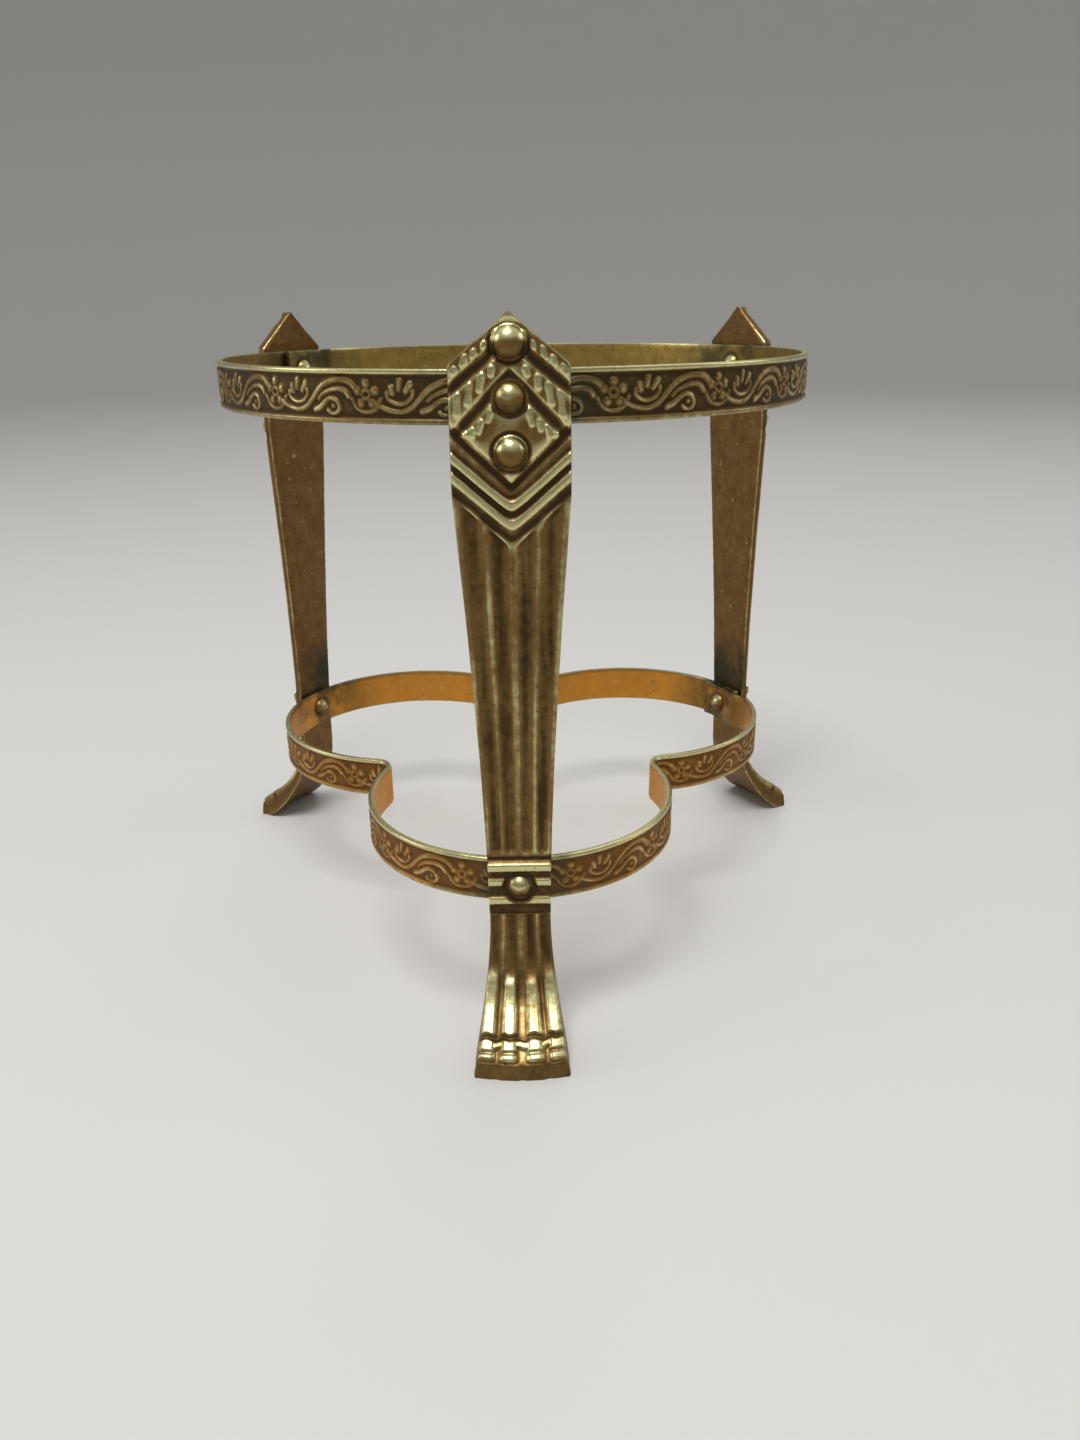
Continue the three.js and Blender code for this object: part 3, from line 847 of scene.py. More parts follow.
# One repeat of the running scroll: each stroke is points (along, up) in mm and its width at each end.
SCROLL_PERIOD = 23.5
VINE = [
    (-4.7, -1.3), (-3.4, -2.1), (-1.5, -2.65), (0.4, -2.75), (2.3, -2.0), (3.8, -0.7),
    (5.3, 0.8), (6.9, 2.0), (9.2, 2.85), (11.6, 2.95), (13.2, 2.45), (14.0, 1.7),
]
BRANCH = [(5.5, -0.7), (6.4, 0.1), (7.6, 0.7), (9.2, 1.2), (10.8, 1.3), (12.1, 0.8), (12.7, 0.0)]
VOLUTE = [
    (4.4, -2.7), (5.8, -2.1), (7.2, -1.05), (8.6, -0.45), (9.95, -0.9),
    (10.45, -2.05), (9.85, -3.15), (8.6, -3.35), (7.7, -2.7),
]
VOLUTE_EYE = [(9.05, -1.95), (9.1, -1.9)]
BUD_CUP = [(-2.4, 0.7), (-2.3, -0.3), (-1.2, -1.15), (0.2, -1.4), (1.6, -1.0), (2.6, 0.1), (2.7, 1.0)]
BUD_LEFT = [(-1.35, 0.6), (-1.55, 1.6)]
BUD_MIDDLE = [(-0.1, 1.3), (0.15, 2.8)]
BUD_RIGHT = [(1.25, 0.9), (2.25, 2.2)]
SCROLL_STROKES = [
    (VINE, 1.05, 1.6),
    (BRANCH, 0.9, 1.35),
    (VOLUTE, 1.35, 0.9),
    (VOLUTE_EYE, 1.1, 1.1),
    (BUD_CUP, 0.9, 0.9),
    (BUD_LEFT, 1.5, 1.6),
    (BUD_MIDDLE, 1.35, 1.6),
    (BUD_RIGHT, 1.35, 1.6),
]
FLOWER = (16.6, 0.35)
PETALS = 5
PETAL_RING = 1.95
PETAL_RADIUS = 1.08
FLOWER_RING = 0.8
FLOWER_RING_HALF = 0.42
SEPAL_RADIUS = 3.3
SEPAL_ANGLES = (195, 232, 270, 308, 345)
SEPAL_WIDTHS = (0.85, 0.95)
SEPAL_RELIEF = 0.85
TILE_STEP = 0.1
TILE_END = 1.01  # keeps the last column's neighbour on the tile


def stroke_relief(along, up, points, first_width, last_width):
    """A ridge along a curve through the points, changing evenly from one width to the other."""
    path = smooth_path(points)
    widths = np.linspace(first_width, last_width, len(path) - 1)
    relief = np.zeros_like(along)
    for start, end, width in zip(path[:-1], path[1:], widths):
        away = distance_to_stroke(along, up, (start, end))
        relief = np.maximum(relief, ridge_profile(away / (width / 2)))
    return relief


def flower_relief(x, y):
    """Round petals about a small ring, in an open curve of sepals."""
    relief = ridge_profile((np.hypot(x, y) - FLOWER_RING) / FLOWER_RING_HALF)
    for petal in range(PETALS):
        petal_x, petal_y = polar(PETAL_RING, math.radians(90 + 360 / PETALS * petal))
        away = np.hypot(x - petal_x, y - petal_y)
        relief = np.maximum(relief, ridge_profile(away / PETAL_RADIUS))
    sepals = [polar(SEPAL_RADIUS, math.radians(angle)) for angle in SEPAL_ANGLES]
    return np.maximum(relief, SEPAL_RELIEF * stroke_relief(x, y, sepals, *SEPAL_WIDTHS))


def scroll_tile():
    """The relief of one repeat, from 0 to 1, on a fine grid along the strip and up it."""
    rows = np.arange(0, SCROLL_PERIOD - TILE_STEP / 2, TILE_STEP)[:, None]
    columns = np.arange(-STRIP_HEIGHT / 2, STRIP_HEIGHT / 2 + TILE_STEP / 2, TILE_STEP)[None, :]
    relief = np.zeros((rows.size, columns.size))
    for shift in (-SCROLL_PERIOD, 0.0, SCROLL_PERIOD):
        along = rows + shift + 0 * columns
        up = columns + 0 * rows
        for points, first_width, last_width in SCROLL_STROKES:
            relief = np.maximum(relief, stroke_relief(along, up, points, first_width, last_width))
        relief = np.maximum(relief, flower_relief(along - FLOWER[0], up - FLOWER[1]))
    return relief


def from_tile(tile, along, up):
    """The tile's value at any place on the strip."""
    row = np.mod(along, SCROLL_PERIOD) / TILE_STEP
    column = np.clip((up + STRIP_HEIGHT / 2) / TILE_STEP, 0, tile.shape[1] - TILE_END)
    first_row = np.floor(row).astype(int)
    first_column = np.floor(column).astype(int)
    across = column - first_column
    rows = (first_row % len(tile), (first_row + 1) % len(tile))
    low, high = (tile[r, first_column] * (1 - across) + tile[r, first_column + 1] * across for r in rows)
    return low + (high - low) * (row - first_row)


# The bands' meshes: s is the distance along the middle of the strip from the leg that the lap lies behind.
OUTER_ROWS = 43
INNER_ROWS = 17
BAND_STEP = 0.3
BAND_EDGE_RADIUS = 0.22
RIM_WIDTH = 0.85
RIM_SLOPE = 0.25
GROUND_DEPTH = 0.42
SCROLL_RELIEF = 0.5
OUTER_CLEAR = 0.06
OUTER_SINK = 0.04
STRAY_ALONG = (0.18, 6.0, 3)
STRAY_UP = (0.14, 7.0, 5)
SCROLL_PRESS = 0.86
PRESS_SPREAD = (0.14, 9.0, 7)
GROUND_GRAIN = (0.025, 0.6, 13)
INNER_DENTS = (0.03, 5.0, 17)
HEIGHT_LOSS = 0.006
HEIGHT_WANDER = (1.0, 11.0, 19)
GROUND_WEAR = 0.34
# The top rim's wear holds a painted highlight, and the bottom rim's holds painted shade.
TOP_RIM_WEAR_AND_PAINTED_HIGHLIGHT = 0.82
BOTTOM_RIM_WEAR_AND_PAINTED_SHADE = 0.62
TOP_EDGE_WEAR = 0.85
BOTTOM_EDGE_WEAR = 0.7
INNER_WEAR = 0.45
# Painted shade in a ring round each rivet head on the inside of a band.
HEAD_PAINTED_SHADE_RING = (2.9, 1.3)
HEAD_PAINTED_SHADE = 0.4
HEAD_PAINTED_SHADE_COVER = 0.9
BAND_STAIN_REACH = 26.0


def edge_drop(up):
    """How far the strip's rounded edge falls away, by height from its middle."""
    inside = np.clip(BAND_EDGE_RADIUS - (STRIP_HEIGHT / 2 - np.abs(up)), 0, BAND_EDGE_RADIUS)
    return BAND_EDGE_RADIUS - np.sqrt(np.clip(BAND_EDGE_RADIUS**2 - inside**2, 0, None))


def band_outside(s, tile, scroll_phase, wear_gain, seed):
    """Heights down the embossed face, how far out its points lie, and their wear, with a painted highlight
    on the top rim and painted shade on the bottom rim.
    """
    half = STRIP_HEIGHT / 2
    up = np.linspace(half, -half, OUTER_ROWS)[None, :] + 0 * s[:, None]
    along = s[:, None] + 0 * up
    stray_along = uneven(along, up, STRAY_ALONG, seed)
    scroll = from_tile(tile, along + stray_along - scroll_phase, up + uneven(along, up, STRAY_UP, seed))
    pressed = SCROLL_PRESS + uneven(along, up, PRESS_SPREAD, seed)
    rim = smooth_step(np.abs(up), half - RIM_WIDTH - RIM_SLOPE, half - RIM_WIDTH)
    relief = np.maximum(GROUND_DEPTH * rim, SCROLL_RELIEF * pressed * scroll * (1 - rim))
    # The top rim is painted lighter as a highlight and the bottom rim darker as shade, over their wear.
    rim_wear_and_painted_light = np.where(up > 0, TOP_RIM_WEAR_AND_PAINTED_HIGHLIGHT, BOTTOM_RIM_WEAR_AND_PAINTED_SHADE) * rim
    wear_and_painted_light = np.maximum(worn_from(relief, wear_gain, GROUND_WEAR), rim_wear_and_painted_light)
    wear_and_painted_light[:, 0] = TOP_EDGE_WEAR
    grain = uneven(along, up, GROUND_GRAIN, seed) * (1 - scroll) * (1 - rim)
    out = STRIP_THICKNESS / 2 - GROUND_DEPTH + relief + grain - OUTER_SINK
    return up, np.minimum(out, STRIP_THICKNESS / 2 - OUTER_CLEAR) - edge_drop(up), wear_and_painted_light


def band_inside(s, from_leg, seed):
    """Heights up the plain face, how far out its points lie, their wear with painted shade round the rivet
    heads, and how plain they look.
    """
    half = STRIP_HEIGHT / 2
    up = np.linspace(-half, half, INNER_ROWS)[None, :] + 0 * s[:, None]
    dents = uneven(s[:, None] + 0 * up, up, INNER_DENTS, seed)
    out = -STRIP_THICKNESS / 2 + INNER_DENTS[0] + dents + edge_drop(up)
    # Painted shade in a dark ring round each rivet head.
    head_painted_shade = bump(np.hypot(from_leg[:, None], up), *HEAD_PAINTED_SHADE_RING)
    wear_and_painted_light = INNER_WEAR - HEAD_PAINTED_SHADE * head_painted_shade
    wear_and_painted_light[:, 0] = BOTTOM_EDGE_WEAR
    wear_and_painted_light[:, -1] = TOP_EDGE_WEAR
    plain = 1 - HEAD_PAINTED_SHADE_COVER * head_painted_shade
    plain[:, [0, -1]] = 0.0
    return up, out, wear_and_painted_light, plain


def band_mesh(name, arcs, middle_z, tile, scroll_phase, wear_gain, seed, material):
    """Each ring runs down the outer face and up the inner one, with one more point on each edge."""
    length = line_length(arcs)
    first = -LAP_LENGTH / 2
    last = length + LAP_LENGTH / 2
    s = np.linspace(first, last, int((last - first) / BAND_STEP) + 1)
    spacing = length / 3
    from_leg = np.abs(np.mod(s + spacing / 2, spacing) - spacing / 2)
    outer_up, outer, outer_wear_and_painted_light = band_outside(s, tile, scroll_phase, wear_gain, seed)
    inner_up, inner, inner_wear_and_painted_shade, plain = band_inside(s, from_leg, seed)
    one = np.ones((len(s), 1))
    out = np.concatenate([outer, 0 * one, inner, 0 * one], axis=1)
    up = np.concatenate([outer_up, -STRIP_HEIGHT / 2 * one, inner_up, STRIP_HEIGHT / 2 * one], axis=1)
    up = up * (1 - HEIGHT_LOSS * (1 + uneven(s[:, None], up, HEIGHT_WANDER, seed)))
    joggle_end = last - LAP_LENGTH - LAP_CLEAR
    sunk = smooth_step(s, joggle_end - LAP_JOGGLE, joggle_end) * (STRIP_THICKNESS + GAP)
    out = out - sunk[:, None]
    points, outward = on_line(arcs, s)
    flat = points[:, None, :] + outward[:, None, :] * out[:, :, None]
    rings = np.concatenate([flat, middle_z + up[:, :, None]], axis=-1)
    wear_and_painted_light = [outer_wear_and_painted_light, BOTTOM_EDGE_WEAR * one, inner_wear_and_painted_shade, TOP_EDGE_WEAR * one]
    attributes = {
        "wear_and_painted_light": np.concatenate(wear_and_painted_light, axis=1),
        "plain": np.concatenate([0 * outer_wear_and_painted_light, 0 * one, plain, 0 * one], axis=1),
        "stain": soft_profile(from_leg / BAND_STAIN_REACH)[:, None] + 0 * up,
    }
    return skin(name, to_metres(rings), attributes, material)


# Rivets.
RIVET_SEGMENTS = 40
DOME_RINGS = 9
DOME_TOP = 0.02
DENTS = (1.0, 1.7, 0)
DENTS_GAP = 5.0
DENT_SHRINK = 0.03
DENT_DEPTH = 0.07
DENT_REACH = 2.4
RIVET_RIM_WEAR = 0.5
# The rivets' under halves are darkened as painted shade.
RIVET_UNDER_PAINTED_SHADE = 0.45
RIVET_PAINTED_SHADE_RISE = (-0.35, 0.45)


def dome_profile(radius, height, base, outwards):
    """From the rim of a domed head to its top, as (radius, reach)."""
    sphere = (radius**2 + height**2) / (2 * height)
    angles = math.asin(radius / sphere) * np.linspace(1, DOME_TOP, DOME_RINGS)
    rise = height - sphere + sphere * np.cos(angles)
    return np.stack([sphere * np.sin(angles), base + outwards * rise], axis=1)


def rivet_wear_and_painted_shade(profile, angle, head_radius):
    """Bright tops that darken to the rim, and under halves darkened as painted shade."""
    inner = np.linspace(1.0, RIVET_RIM_WEAR, DOME_RINGS)
    outer = np.linspace(RIVET_RIM_WEAR, 1.0, DOME_RINGS)
    top = np.concatenate([inner, [0, 0], outer])[:, None]
    # The under halves are darkened as painted shade.
    share_up = profile[:, :1] * np.sin(angle) / head_radius
    return top * towards(RIVET_UNDER_PAINTED_SHADE, 1.0, smooth_step(share_up, *RIVET_PAINTED_SHADE_RISE))


def rivet_mesh(name, azimuth, z, inner_base, outer_base, outer_head, seed, material):
    """One turned profile from the inner head's top, along the shank, to the outer head's top."""
    inner = dome_profile(*INNER_HEAD, inner_base, -1)[::-1]
    outer = dome_profile(*outer_head, outer_base, 1)
    shank = np.array([(RIVET_SHANK_RADIUS, inner_base), (RIVET_SHANK_RADIUS, outer_base)])
    profile = np.vstack([inner, shank, outer])
    angle = np.linspace(0, 2 * math.pi, RIVET_SEGMENTS, endpoint=False)[None, :]
    radius = profile[:, :1] + 0 * angle
    reach = profile[:, 1:] + 0 * angle
    outwards = np.where(reach > (inner_base + outer_base) / 2, 1.0, -1.0)
    across = radius * np.cos(angle) + DENTS_GAP * outwards
    dent = uneven(across, radius * np.sin(angle), DENTS, seed)
    radius = radius * (1 - DENT_SHRINK * (1 + dent) / 2)
    reach = reach - outwards * DENT_DEPTH * (1 + dent) * (radius < DENT_REACH)
    rings = np.stack([reach, radius * np.cos(angle), z + radius * np.sin(angle)], axis=-1)
    wear_and_painted_light = rivet_wear_and_painted_shade(profile, angle, outer_head[0])
    return skin(name, to_metres(rings[::-1], azimuth), {"wear_and_painted_light": wear_and_painted_light[::-1]}, material)


# Shader nodes.
def add(tree, kind, inputs=(), **settings):
    """A node with its settings and inputs; an input may be a value or another node's output."""
    node = tree.nodes.new(kind)
    for key, value in settings.items():
        setattr(node, key, value)
    for key, value in dict(inputs).items():
        if isinstance(value, bpy.types.NodeSocket):
            tree.links.new(value, node.inputs[key])
        else:
            node.inputs[key].default_value = value
    return node


def noise(tree, where, scale, detail, roughness, distortion=0.0):
    inputs = {"Vector": where, "Scale": scale, "Detail": detail}
    inputs.update({"Roughness": roughness, "Distortion": distortion})
    return add(tree, "ShaderNodeTexNoise", inputs).outputs["Fac"]


def between(tree, value, low, high, to_low=0.0, to_high=1.0):
    """Maps low to high smoothly onto to_low to to_high."""
    inputs = {"Value": value, "From Min": low, "From Max": high, "To Min": to_low, "To Max": to_high}
    return add(tree, "ShaderNodeMapRange", inputs, interpolation_type="SMOOTHSTEP").outputs["Result"]


def maths(tree, operation, first, second):
    return add(tree, "ShaderNodeMath", {0: first, 1: second}, operation=operation).outputs[0]


def mixed(tree, factor, first, second):
    return add(tree, "ShaderNodeMix", {0: factor, 6: first, 7: second}, data_type="RGBA").outputs[2]


def attribute(tree, name):
    return add(tree, "ShaderNodeAttribute", attribute_name=name).outputs["Fac"]


def varied(tree, value, pattern, amount):
    """Raises and lowers a value by a noise pattern."""
    return maths(tree, "ADD", value, maths(tree, "MULTIPLY", maths(tree, "SUBTRACT", pattern, 0.5), amount))


BRIGHT_BRASS = (0.66, 0.62, 0.31, 1)
AGED_BRASS = (0.235, 0.142, 0.048, 1)
DARK_PATINA = (0.052, 0.03, 0.011, 1)
UPPER_GROUND = (0.06, 0.036, 0.011, 1)
# The lower band's brass is made redder than the upper band's as a painted warm reflection.
LOWER_AGED_WITH_PAINTED_WARM_REFLECTION = (0.36, 0.18, 0.042, 1)
LOWER_GROUND_WITH_PAINTED_WARM_REFLECTION = (0.16, 0.068, 0.018, 1)
BACK_BROWN = (0.155, 0.078, 0.025, 1)
BACK_OLIVE = (0.24, 0.138, 0.048, 1)
# The lower band's inside is made more orange than the upper band's as a painted warm reflection.
GOLDEN_BRASS_WITH_PAINTED_WARM_REFLECTION = (0.70, 0.315, 0.05, 1)
GOLDEN_SHADE_WITH_PAINTED_WARM_REFLECTION = (0.57, 0.26, 0.045, 1)
OLIVE_GOLD = (0.42, 0.295, 0.08, 1)
OLIVE_SHADE = (0.25, 0.165, 0.047, 1)
VERDIGRIS = (0.035, 0.05, 0.032, 1)
SPECK = (0.03, 0.022, 0.012, 1)

# Noise patterns as scale in features per metre, detail, roughness and distortion.
CLOUDS = (85.0, 5.0, 0.6, 0.4)
GRAIN = (620.0, 6.0, 0.65)
FINE_GRAIN = (2600.0, 3.0, 0.6)
MOTTLE = (330.0, 9.0, 0.75)
GLINTS = (760.0, 2.0, 0.5)
SMOKE = (60.0, 8.0, 0.72)
SPECKS = (1150.0, 2.0, 0.5)

# Smooth ramps as the values they run between, and where it isn't 0 to 1, what they map them onto.
AGED_RAMP = (0.12, 0.52)
BRIGHT_RAMP = (0.5, 0.85)
PLAIN_BRIGHT_RAMP = (0.55, 0.95)
MOTTLE_RAMP = (0.3, 0.7)
GLINT_RAMP = (0.69, 0.74, 0.0, 0.5)
SMOKE_RAMP = (0.36, 0.6, 0.0, 0.92)
SPECK_RAMP = (0.67, 0.73)
SPECK_CLOUD_RAMP = (0.45, 0.7, 0.25, 1.0)
ROUGHNESS_RAMP = (0.25, 0.95, 0.48, 0.25)
FINE_ROUGHNESS_RAMP = (0.3, 0.7, -0.05, 0.07)
METALLIC_RAMP = (0.1, 0.5, 0.82, 1.0)
BUMP_RAMP = (0.45, 0.9, 0.26, 0.1)

CLOUD_WEAR = 0.32
GRAIN_WEAR = 0.42
SPECK_ROUGHNESS = 0.25
FINE_BUMP = 0.35
SPECK_BUMP = 0.5
BUMP_DEPTH = 0.00012
BACK_STRETCH = 1.5


def plain_surface(tree, where, rub_and_painted_light, colours, stretch):
    """The legs' backs and the bands' insides: mottled, with a few bright glints."""
    drawn = add(tree, "ShaderNodeMapping", {"Vector": where, "Scale": (1.0, 1.0, 1.0 / stretch)}).outputs[0]
    surface = mixed(tree, between(tree, noise(tree, drawn, *MOTTLE), *MOTTLE_RAMP), *colours)
    surface = mixed(tree, between(tree, rub_and_painted_light, *PLAIN_BRIGHT_RAMP), surface, BRIGHT_BRASS)
    glints = between(tree, noise(tree, where, *GLINTS), *GLINT_RAMP)
    return mixed(tree, glints, surface, BRIGHT_BRASS)


def stained(tree, where, colour):
    """Smoky dark green where the stain attribute lets it show."""
    smoke = between(tree, noise(tree, where, *SMOKE), *SMOKE_RAMP)
    return mixed(tree, maths(tree, "MULTIPLY", attribute(tree, "stain"), smoke), colour, VERDIGRIS)


def brass_roughness(tree, rub_and_painted_light, fine, specks):
    """Smoother where it is rubbed, with fine grain, and rougher in the specks."""
    rough = between(tree, rub_and_painted_light, *ROUGHNESS_RAMP)
    rough = maths(tree, "ADD", rough, between(tree, fine, *FINE_ROUGHNESS_RAMP))
    return maths(tree, "ADD", rough, maths(tree, "MULTIPLY", specks, SPECK_ROUGHNESS))


def brass_bump(tree, rub_and_painted_light, grain, fine, specks):
    """Grain and pits, weaker where they are rubbed away."""
    height = maths(tree, "ADD", grain, maths(tree, "MULTIPLY", fine, FINE_BUMP))
    height = maths(tree, "SUBTRACT", height, maths(tree, "MULTIPLY", specks, SPECK_BUMP))
    inputs = {"Strength": between(tree, rub_and_painted_light, *BUMP_RAMP), "Distance": BUMP_DEPTH, "Height": height}
    return add(tree, "ShaderNodeBump", inputs).outputs["Normal"]


def brass_material(name, aged_colour, dark_colour, plain_colours=None, stretch=1.0):
    """Aged brass: dark in the recesses, rubbed bright where it stands out, mottled and pitted all over."""
    material = bpy.data.materials.new(name)
    material.use_nodes = True
    tree = material.node_tree
    shader = tree.nodes["Principled BSDF"]
    where = add(tree, "ShaderNodeTexCoord").outputs["Object"]
    clouds = noise(tree, where, *CLOUDS)
    grain = noise(tree, where, *GRAIN)
    fine = noise(tree, where, *FINE_GRAIN)
    # The wear attribute also carries painted highlights and painted shade into the colour, roughness and
    # bump.
    rub_and_painted_light = varied(tree, attribute(tree, "wear_and_painted_light"), clouds, CLOUD_WEAR)
    rub_and_painted_light = varied(tree, rub_and_painted_light, grain, GRAIN_WEAR)
    colour = mixed(tree, between(tree, rub_and_painted_light, *AGED_RAMP), dark_colour, aged_colour)
    colour = mixed(tree, between(tree, rub_and_painted_light, *BRIGHT_RAMP), colour, BRIGHT_BRASS)
    if plain_colours:
        surface = plain_surface(tree, where, rub_and_painted_light, plain_colours, stretch)
        colour = stained(tree, where, mixed(tree, attribute(tree, "plain"), colour, surface))
    specks = between(tree, noise(tree, where, *SPECKS), *SPECK_RAMP)
    specks = maths(tree, "MULTIPLY", specks, between(tree, clouds, *SPECK_CLOUD_RAMP))
    tree.links.new(mixed(tree, specks, colour, SPECK), shader.inputs["Base Color"])
    tree.links.new(brass_roughness(tree, rub_and_painted_light, fine, specks), shader.inputs["Roughness"])
    tree.links.new(between(tree, rub_and_painted_light, *METALLIC_RAMP), shader.inputs["Metallic"])
    tree.links.new(brass_bump(tree, rub_and_painted_light, grain, fine, specks), shader.inputs["Normal"])
    return material


# Stage, lights and camera, in metres.
FLOOR_COLOUR = (0.60, 0.59, 0.57, 1)
FLOOR_ROUGHNESS = 0.7
FLOOR_RADIUS = 2.0
SWEEP_RADIUS = 0.7
WALL_TOP = 1.5
SWEEP_STEPS = 24
WALL_SEGMENTS = 96
LIGHTS_AIM = (0, 0, 0.07)
LIGHTS = {  # place, size and power
    "key": ((-0.12, -0.34, 1.0), 0.42, 6.5),
    "left_fill": ((-1.1, -0.1, 0.5), 0.6, 2.4),
    "right_fill": ((1.1, 0.1, 0.6), 0.6, 1.5),
    "back_fill": ((0.2, 0.9, 1.1), 0.8, 2.2),
}
ROOM_COLOUR = (1.0, 0.99, 0.97, 1)
ROOM_RAMP = (0.15, 0.95, 0.27, 0.6)
CAMERA_PLACE = (3.4, -273.0, 150.8)  # mm from the stand's axis
CAMERA_PITCH, CAMERA_ROLL, CAMERA_YAW = -21.18, 0.94, -0.70
CAMERA_LENS = 26.71
CAMERA_SENSOR = 36.0
CAMERA_NEAREST = 0.01


def floor_material():
    material = bpy.data.materials.new("pale_floor")
    material.use_nodes = True
    shader = material.node_tree.nodes["Principled BSDF"]
    shader.inputs["Base Color"].default_value = FLOOR_COLOUR
    shader.inputs["Roughness"].default_value = FLOOR_ROUGHNESS
    return material


def floor_profile():
    """Out along the sweep and up to the top of the wall, as (radius, height)."""
    profile = []
    for angle in np.linspace(0, math.pi / 2, SWEEP_STEPS):
        out = FLOOR_RADIUS + SWEEP_RADIUS * math.sin(angle)
        profile.append((out, SWEEP_RADIUS * (1 - math.cos(angle))))
    return [*profile, (FLOOR_RADIUS + SWEEP_RADIUS, WALL_TOP)]


def make_floor():
    """A round pale floor that sweeps up into a low wall, the same from every side."""
    profile = floor_profile()
    turns = [2 * math.pi * i / WALL_SEGMENTS for i in range(WALL_SEGMENTS)]
    corners = [(*polar(radius, turn), z) for radius, z in profile for turn in turns]
    faces = [list(range(WALL_SEGMENTS))]
    for row in range(len(profile) - 1):
        for i in range(WALL_SEGMENTS):
            here = row * WALL_SEGMENTS + i
            beside = row * WALL_SEGMENTS + (i + 1) % WALL_SEGMENTS
            faces.append((here, here + WALL_SEGMENTS, beside + WALL_SEGMENTS, beside))
    mesh = bpy.data.meshes.new("floor")
    mesh.from_pydata(corners, [], faces)
    mesh.shade_smooth()
    mesh.materials.append(floor_material())
    floor = bpy.data.objects.new("floor", mesh)
    bpy.context.scene.collection.objects.link(floor)


def soft_light(name, place, size, power):
    lamp = bpy.data.lights.new(name, "AREA")
    lamp.shape = "DISK"
    lamp.size = size
    lamp.energy = power
    light = bpy.data.objects.new(name, lamp)
    light.location = place
    light.rotation_euler = (Vector(LIGHTS_AIM) - Vector(place)).to_track_quat("-Z", "Y").to_euler()
    bpy.context.scene.collection.objects.link(light)


def make_world():
    """A soft grey studio, dim at the horizon and brighter overhead."""
    world = bpy.data.worlds.new("studio")
    world.use_nodes = True
    tree = world.node_tree
    direction = add(tree, "ShaderNodeTexCoord").outputs["Generated"]
    height = add(tree, "ShaderNodeSeparateXYZ", {0: direction}).outputs["Z"]
    background = tree.nodes["Background"]
    background.inputs["Color"].default_value = ROOM_COLOUR
    tree.links.new(between(tree, height, *ROOM_RAMP), background.inputs["Strength"])
    bpy.context.scene.world = world


def make_lights():
    for name, (place, size, power) in LIGHTS.items():
        soft_light(name, place, size, power)
    make_world()
    bpy.context.scene.view_settings.view_transform = "Standard"


def make_camera():
    data = bpy.data.cameras.new("camera")
    data.lens = CAMERA_LENS
    data.sensor_width = CAMERA_SENSOR
    data.clip_start = CAMERA_NEAREST
    camera = bpy.data.objects.new("camera", data)
    place = to_metres(np.array(CAMERA_PLACE))
    turn = Matrix.Rotation(math.radians(CAMERA_ROLL), 4, "Y")
    turn = turn @ Matrix.Rotation(math.radians(CAMERA_PITCH), 4, "X")
    turn = turn @ Matrix.Rotation(math.radians(CAMERA_YAW), 4, "Z")
    camera.matrix_world = Matrix.Translation(place) @ turn @ Matrix.Rotation(math.pi / 2, 4, "X")
    bpy.context.scene.collection.objects.link(camera)
    bpy.context.scene.camera = camera


# The stand's pieces.
LEG_SEED = 100
LEG_SEED_STEP = 50
RIVET_SEED = 500
RIVET_SEED_STEP = 10
UPPER_SCROLL = (5.63, 1.5, 300)  # phase along the strip, gain of its wear, and seed
LOWER_SCROLL = (4.11, 1.25, 400)
UPPER_BRASS = (AGED_BRASS, UPPER_GROUND, (OLIVE_GOLD, OLIVE_SHADE))
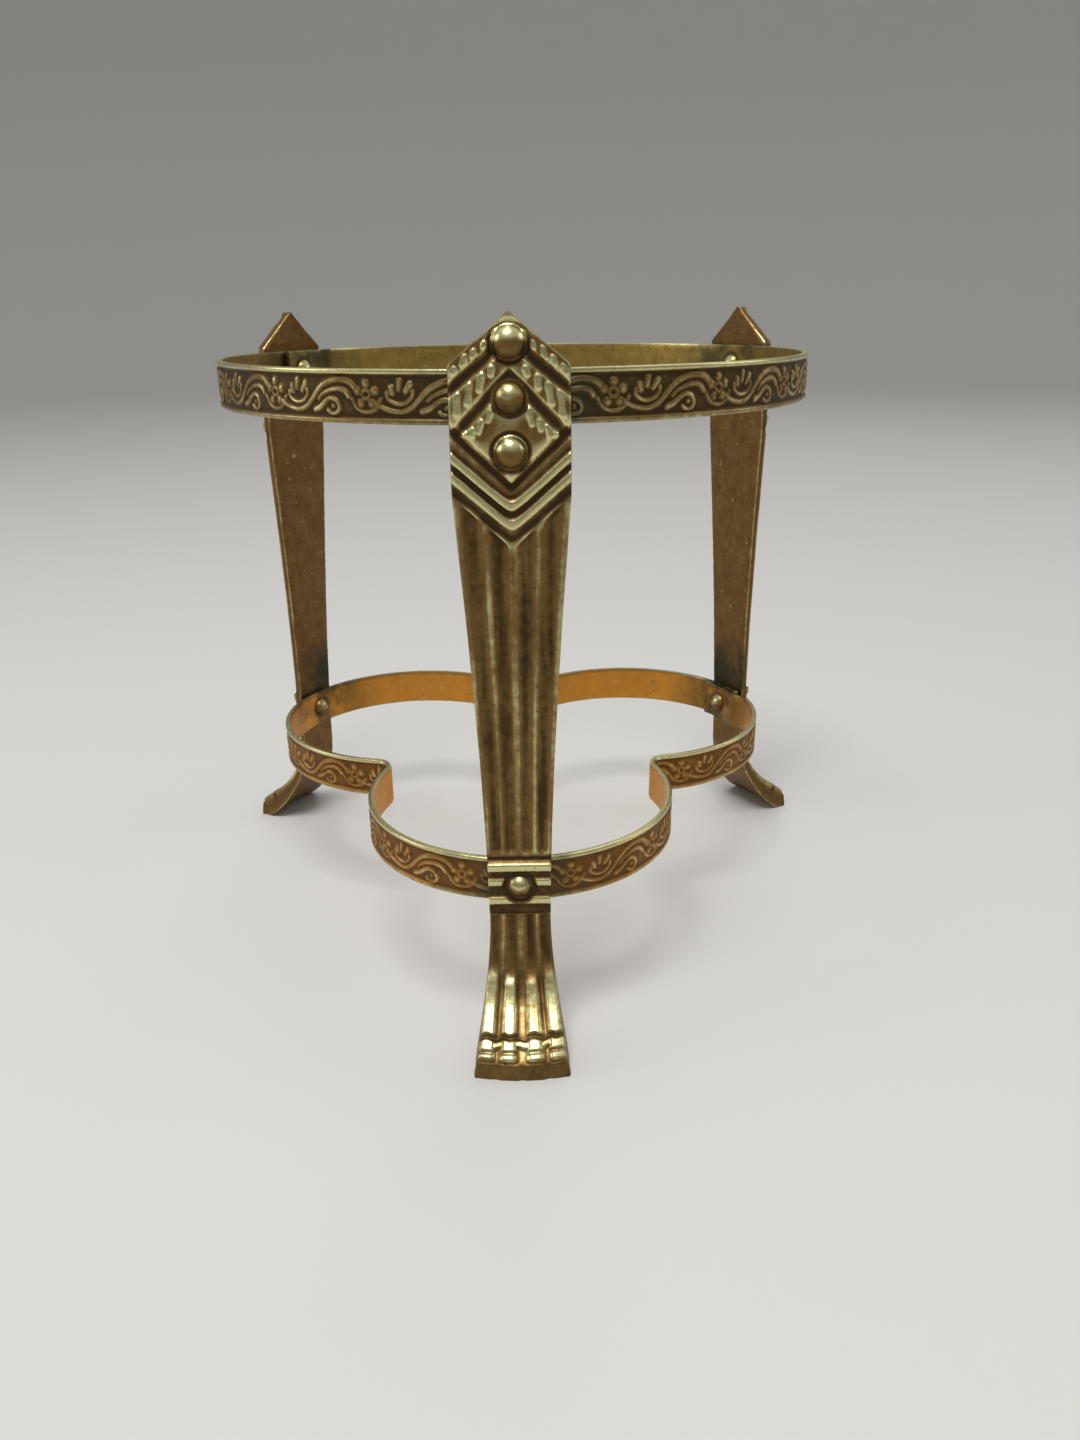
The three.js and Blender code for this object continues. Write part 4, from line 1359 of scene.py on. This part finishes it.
# The lower band's colours hold a painted warm reflection.
LOWER_BRASS_WITH_PAINTED_WARM_REFLECTION = (LOWER_AGED_WITH_PAINTED_WARM_REFLECTION, LOWER_GROUND_WITH_PAINTED_WARM_REFLECTION, (GOLDEN_BRASS_WITH_PAINTED_WARM_REFLECTION, GOLDEN_SHADE_WITH_PAINTED_WARM_REFLECTION))
HEAD_CLEAR = 0.05


def build_legs():
    material = brass_material("cast_brass", AGED_BRASS, DARK_PATINA, (BACK_BROWN, BACK_OLIVE), BACK_STRETCH)
    for i, (place, azimuth) in enumerate(LEG_AZIMUTHS.items()):
        piece = leg_mesh(f"cast_leg_{place}", azimuth, LEG_SEED + LEG_SEED_STEP * i, material)
        stand_for(piece, f"leg_{place}")


def build_bands():
    """One strip with one scroll, bent to a circle above and to three lobes below; the lower one's brass
    holds a painted warm reflection.
    """
    tile = scroll_tile()
    levels = {
        "upper": (round_line, "rear_left", UPPER_BAND_Z, UPPER_SCROLL, UPPER_BRASS),
        "lower": (lobed_line, "rear_right", LOWER_BAND_Z, LOWER_SCROLL, LOWER_BRASS_WITH_PAINTED_WARM_REFLECTION),
    }
    for level, (line, lap, z, (phase, gain, seed), colours) in levels.items():
        arcs = line(math.radians(LEG_AZIMUTHS[lap]))
        material = brass_material(f"embossed_brass_{level}", *colours)
        piece = band_mesh(f"embossed_band_{level}", arcs, z, tile, phase, gain, seed, material)
        stand_for(piece, f"{level}_band")


def build_rivets():
    material = brass_material("rivet_brass", AGED_BRASS, DARK_PATINA)
    levels = {
        "upper": (UPPER_BAND_Z, UPPER_BAND_RADIUS, UPPER_HEAD, "rear_left"),
        "lower": (LOWER_BAND_Z, LOBE_TIP, LOWER_HEAD, "rear_right"),
    }
    seed = RIVET_SEED
    for level, (z, middle, head, lap) in levels.items():
        for place, azimuth in LEG_AZIMUTHS.items():
            layers = 2 * STRIP_THICKNESS + GAP if place == lap else STRIP_THICKNESS
            inner_base = middle + STRIP_THICKNESS / 2 - layers - GAP / 2
            outer_base = face_reach(z) + HEAD_CLEAR
            name = f"domed_rivet_{level}_{place}"
            piece = rivet_mesh(name, azimuth, z, inner_base, outer_base, head, seed, material)
            stand_for(piece, f"{level}_rivet_{place}")
            seed += RIVET_SEED_STEP


make_camera()
make_lights()
make_floor()
build_legs()
build_bands()
build_rivets()
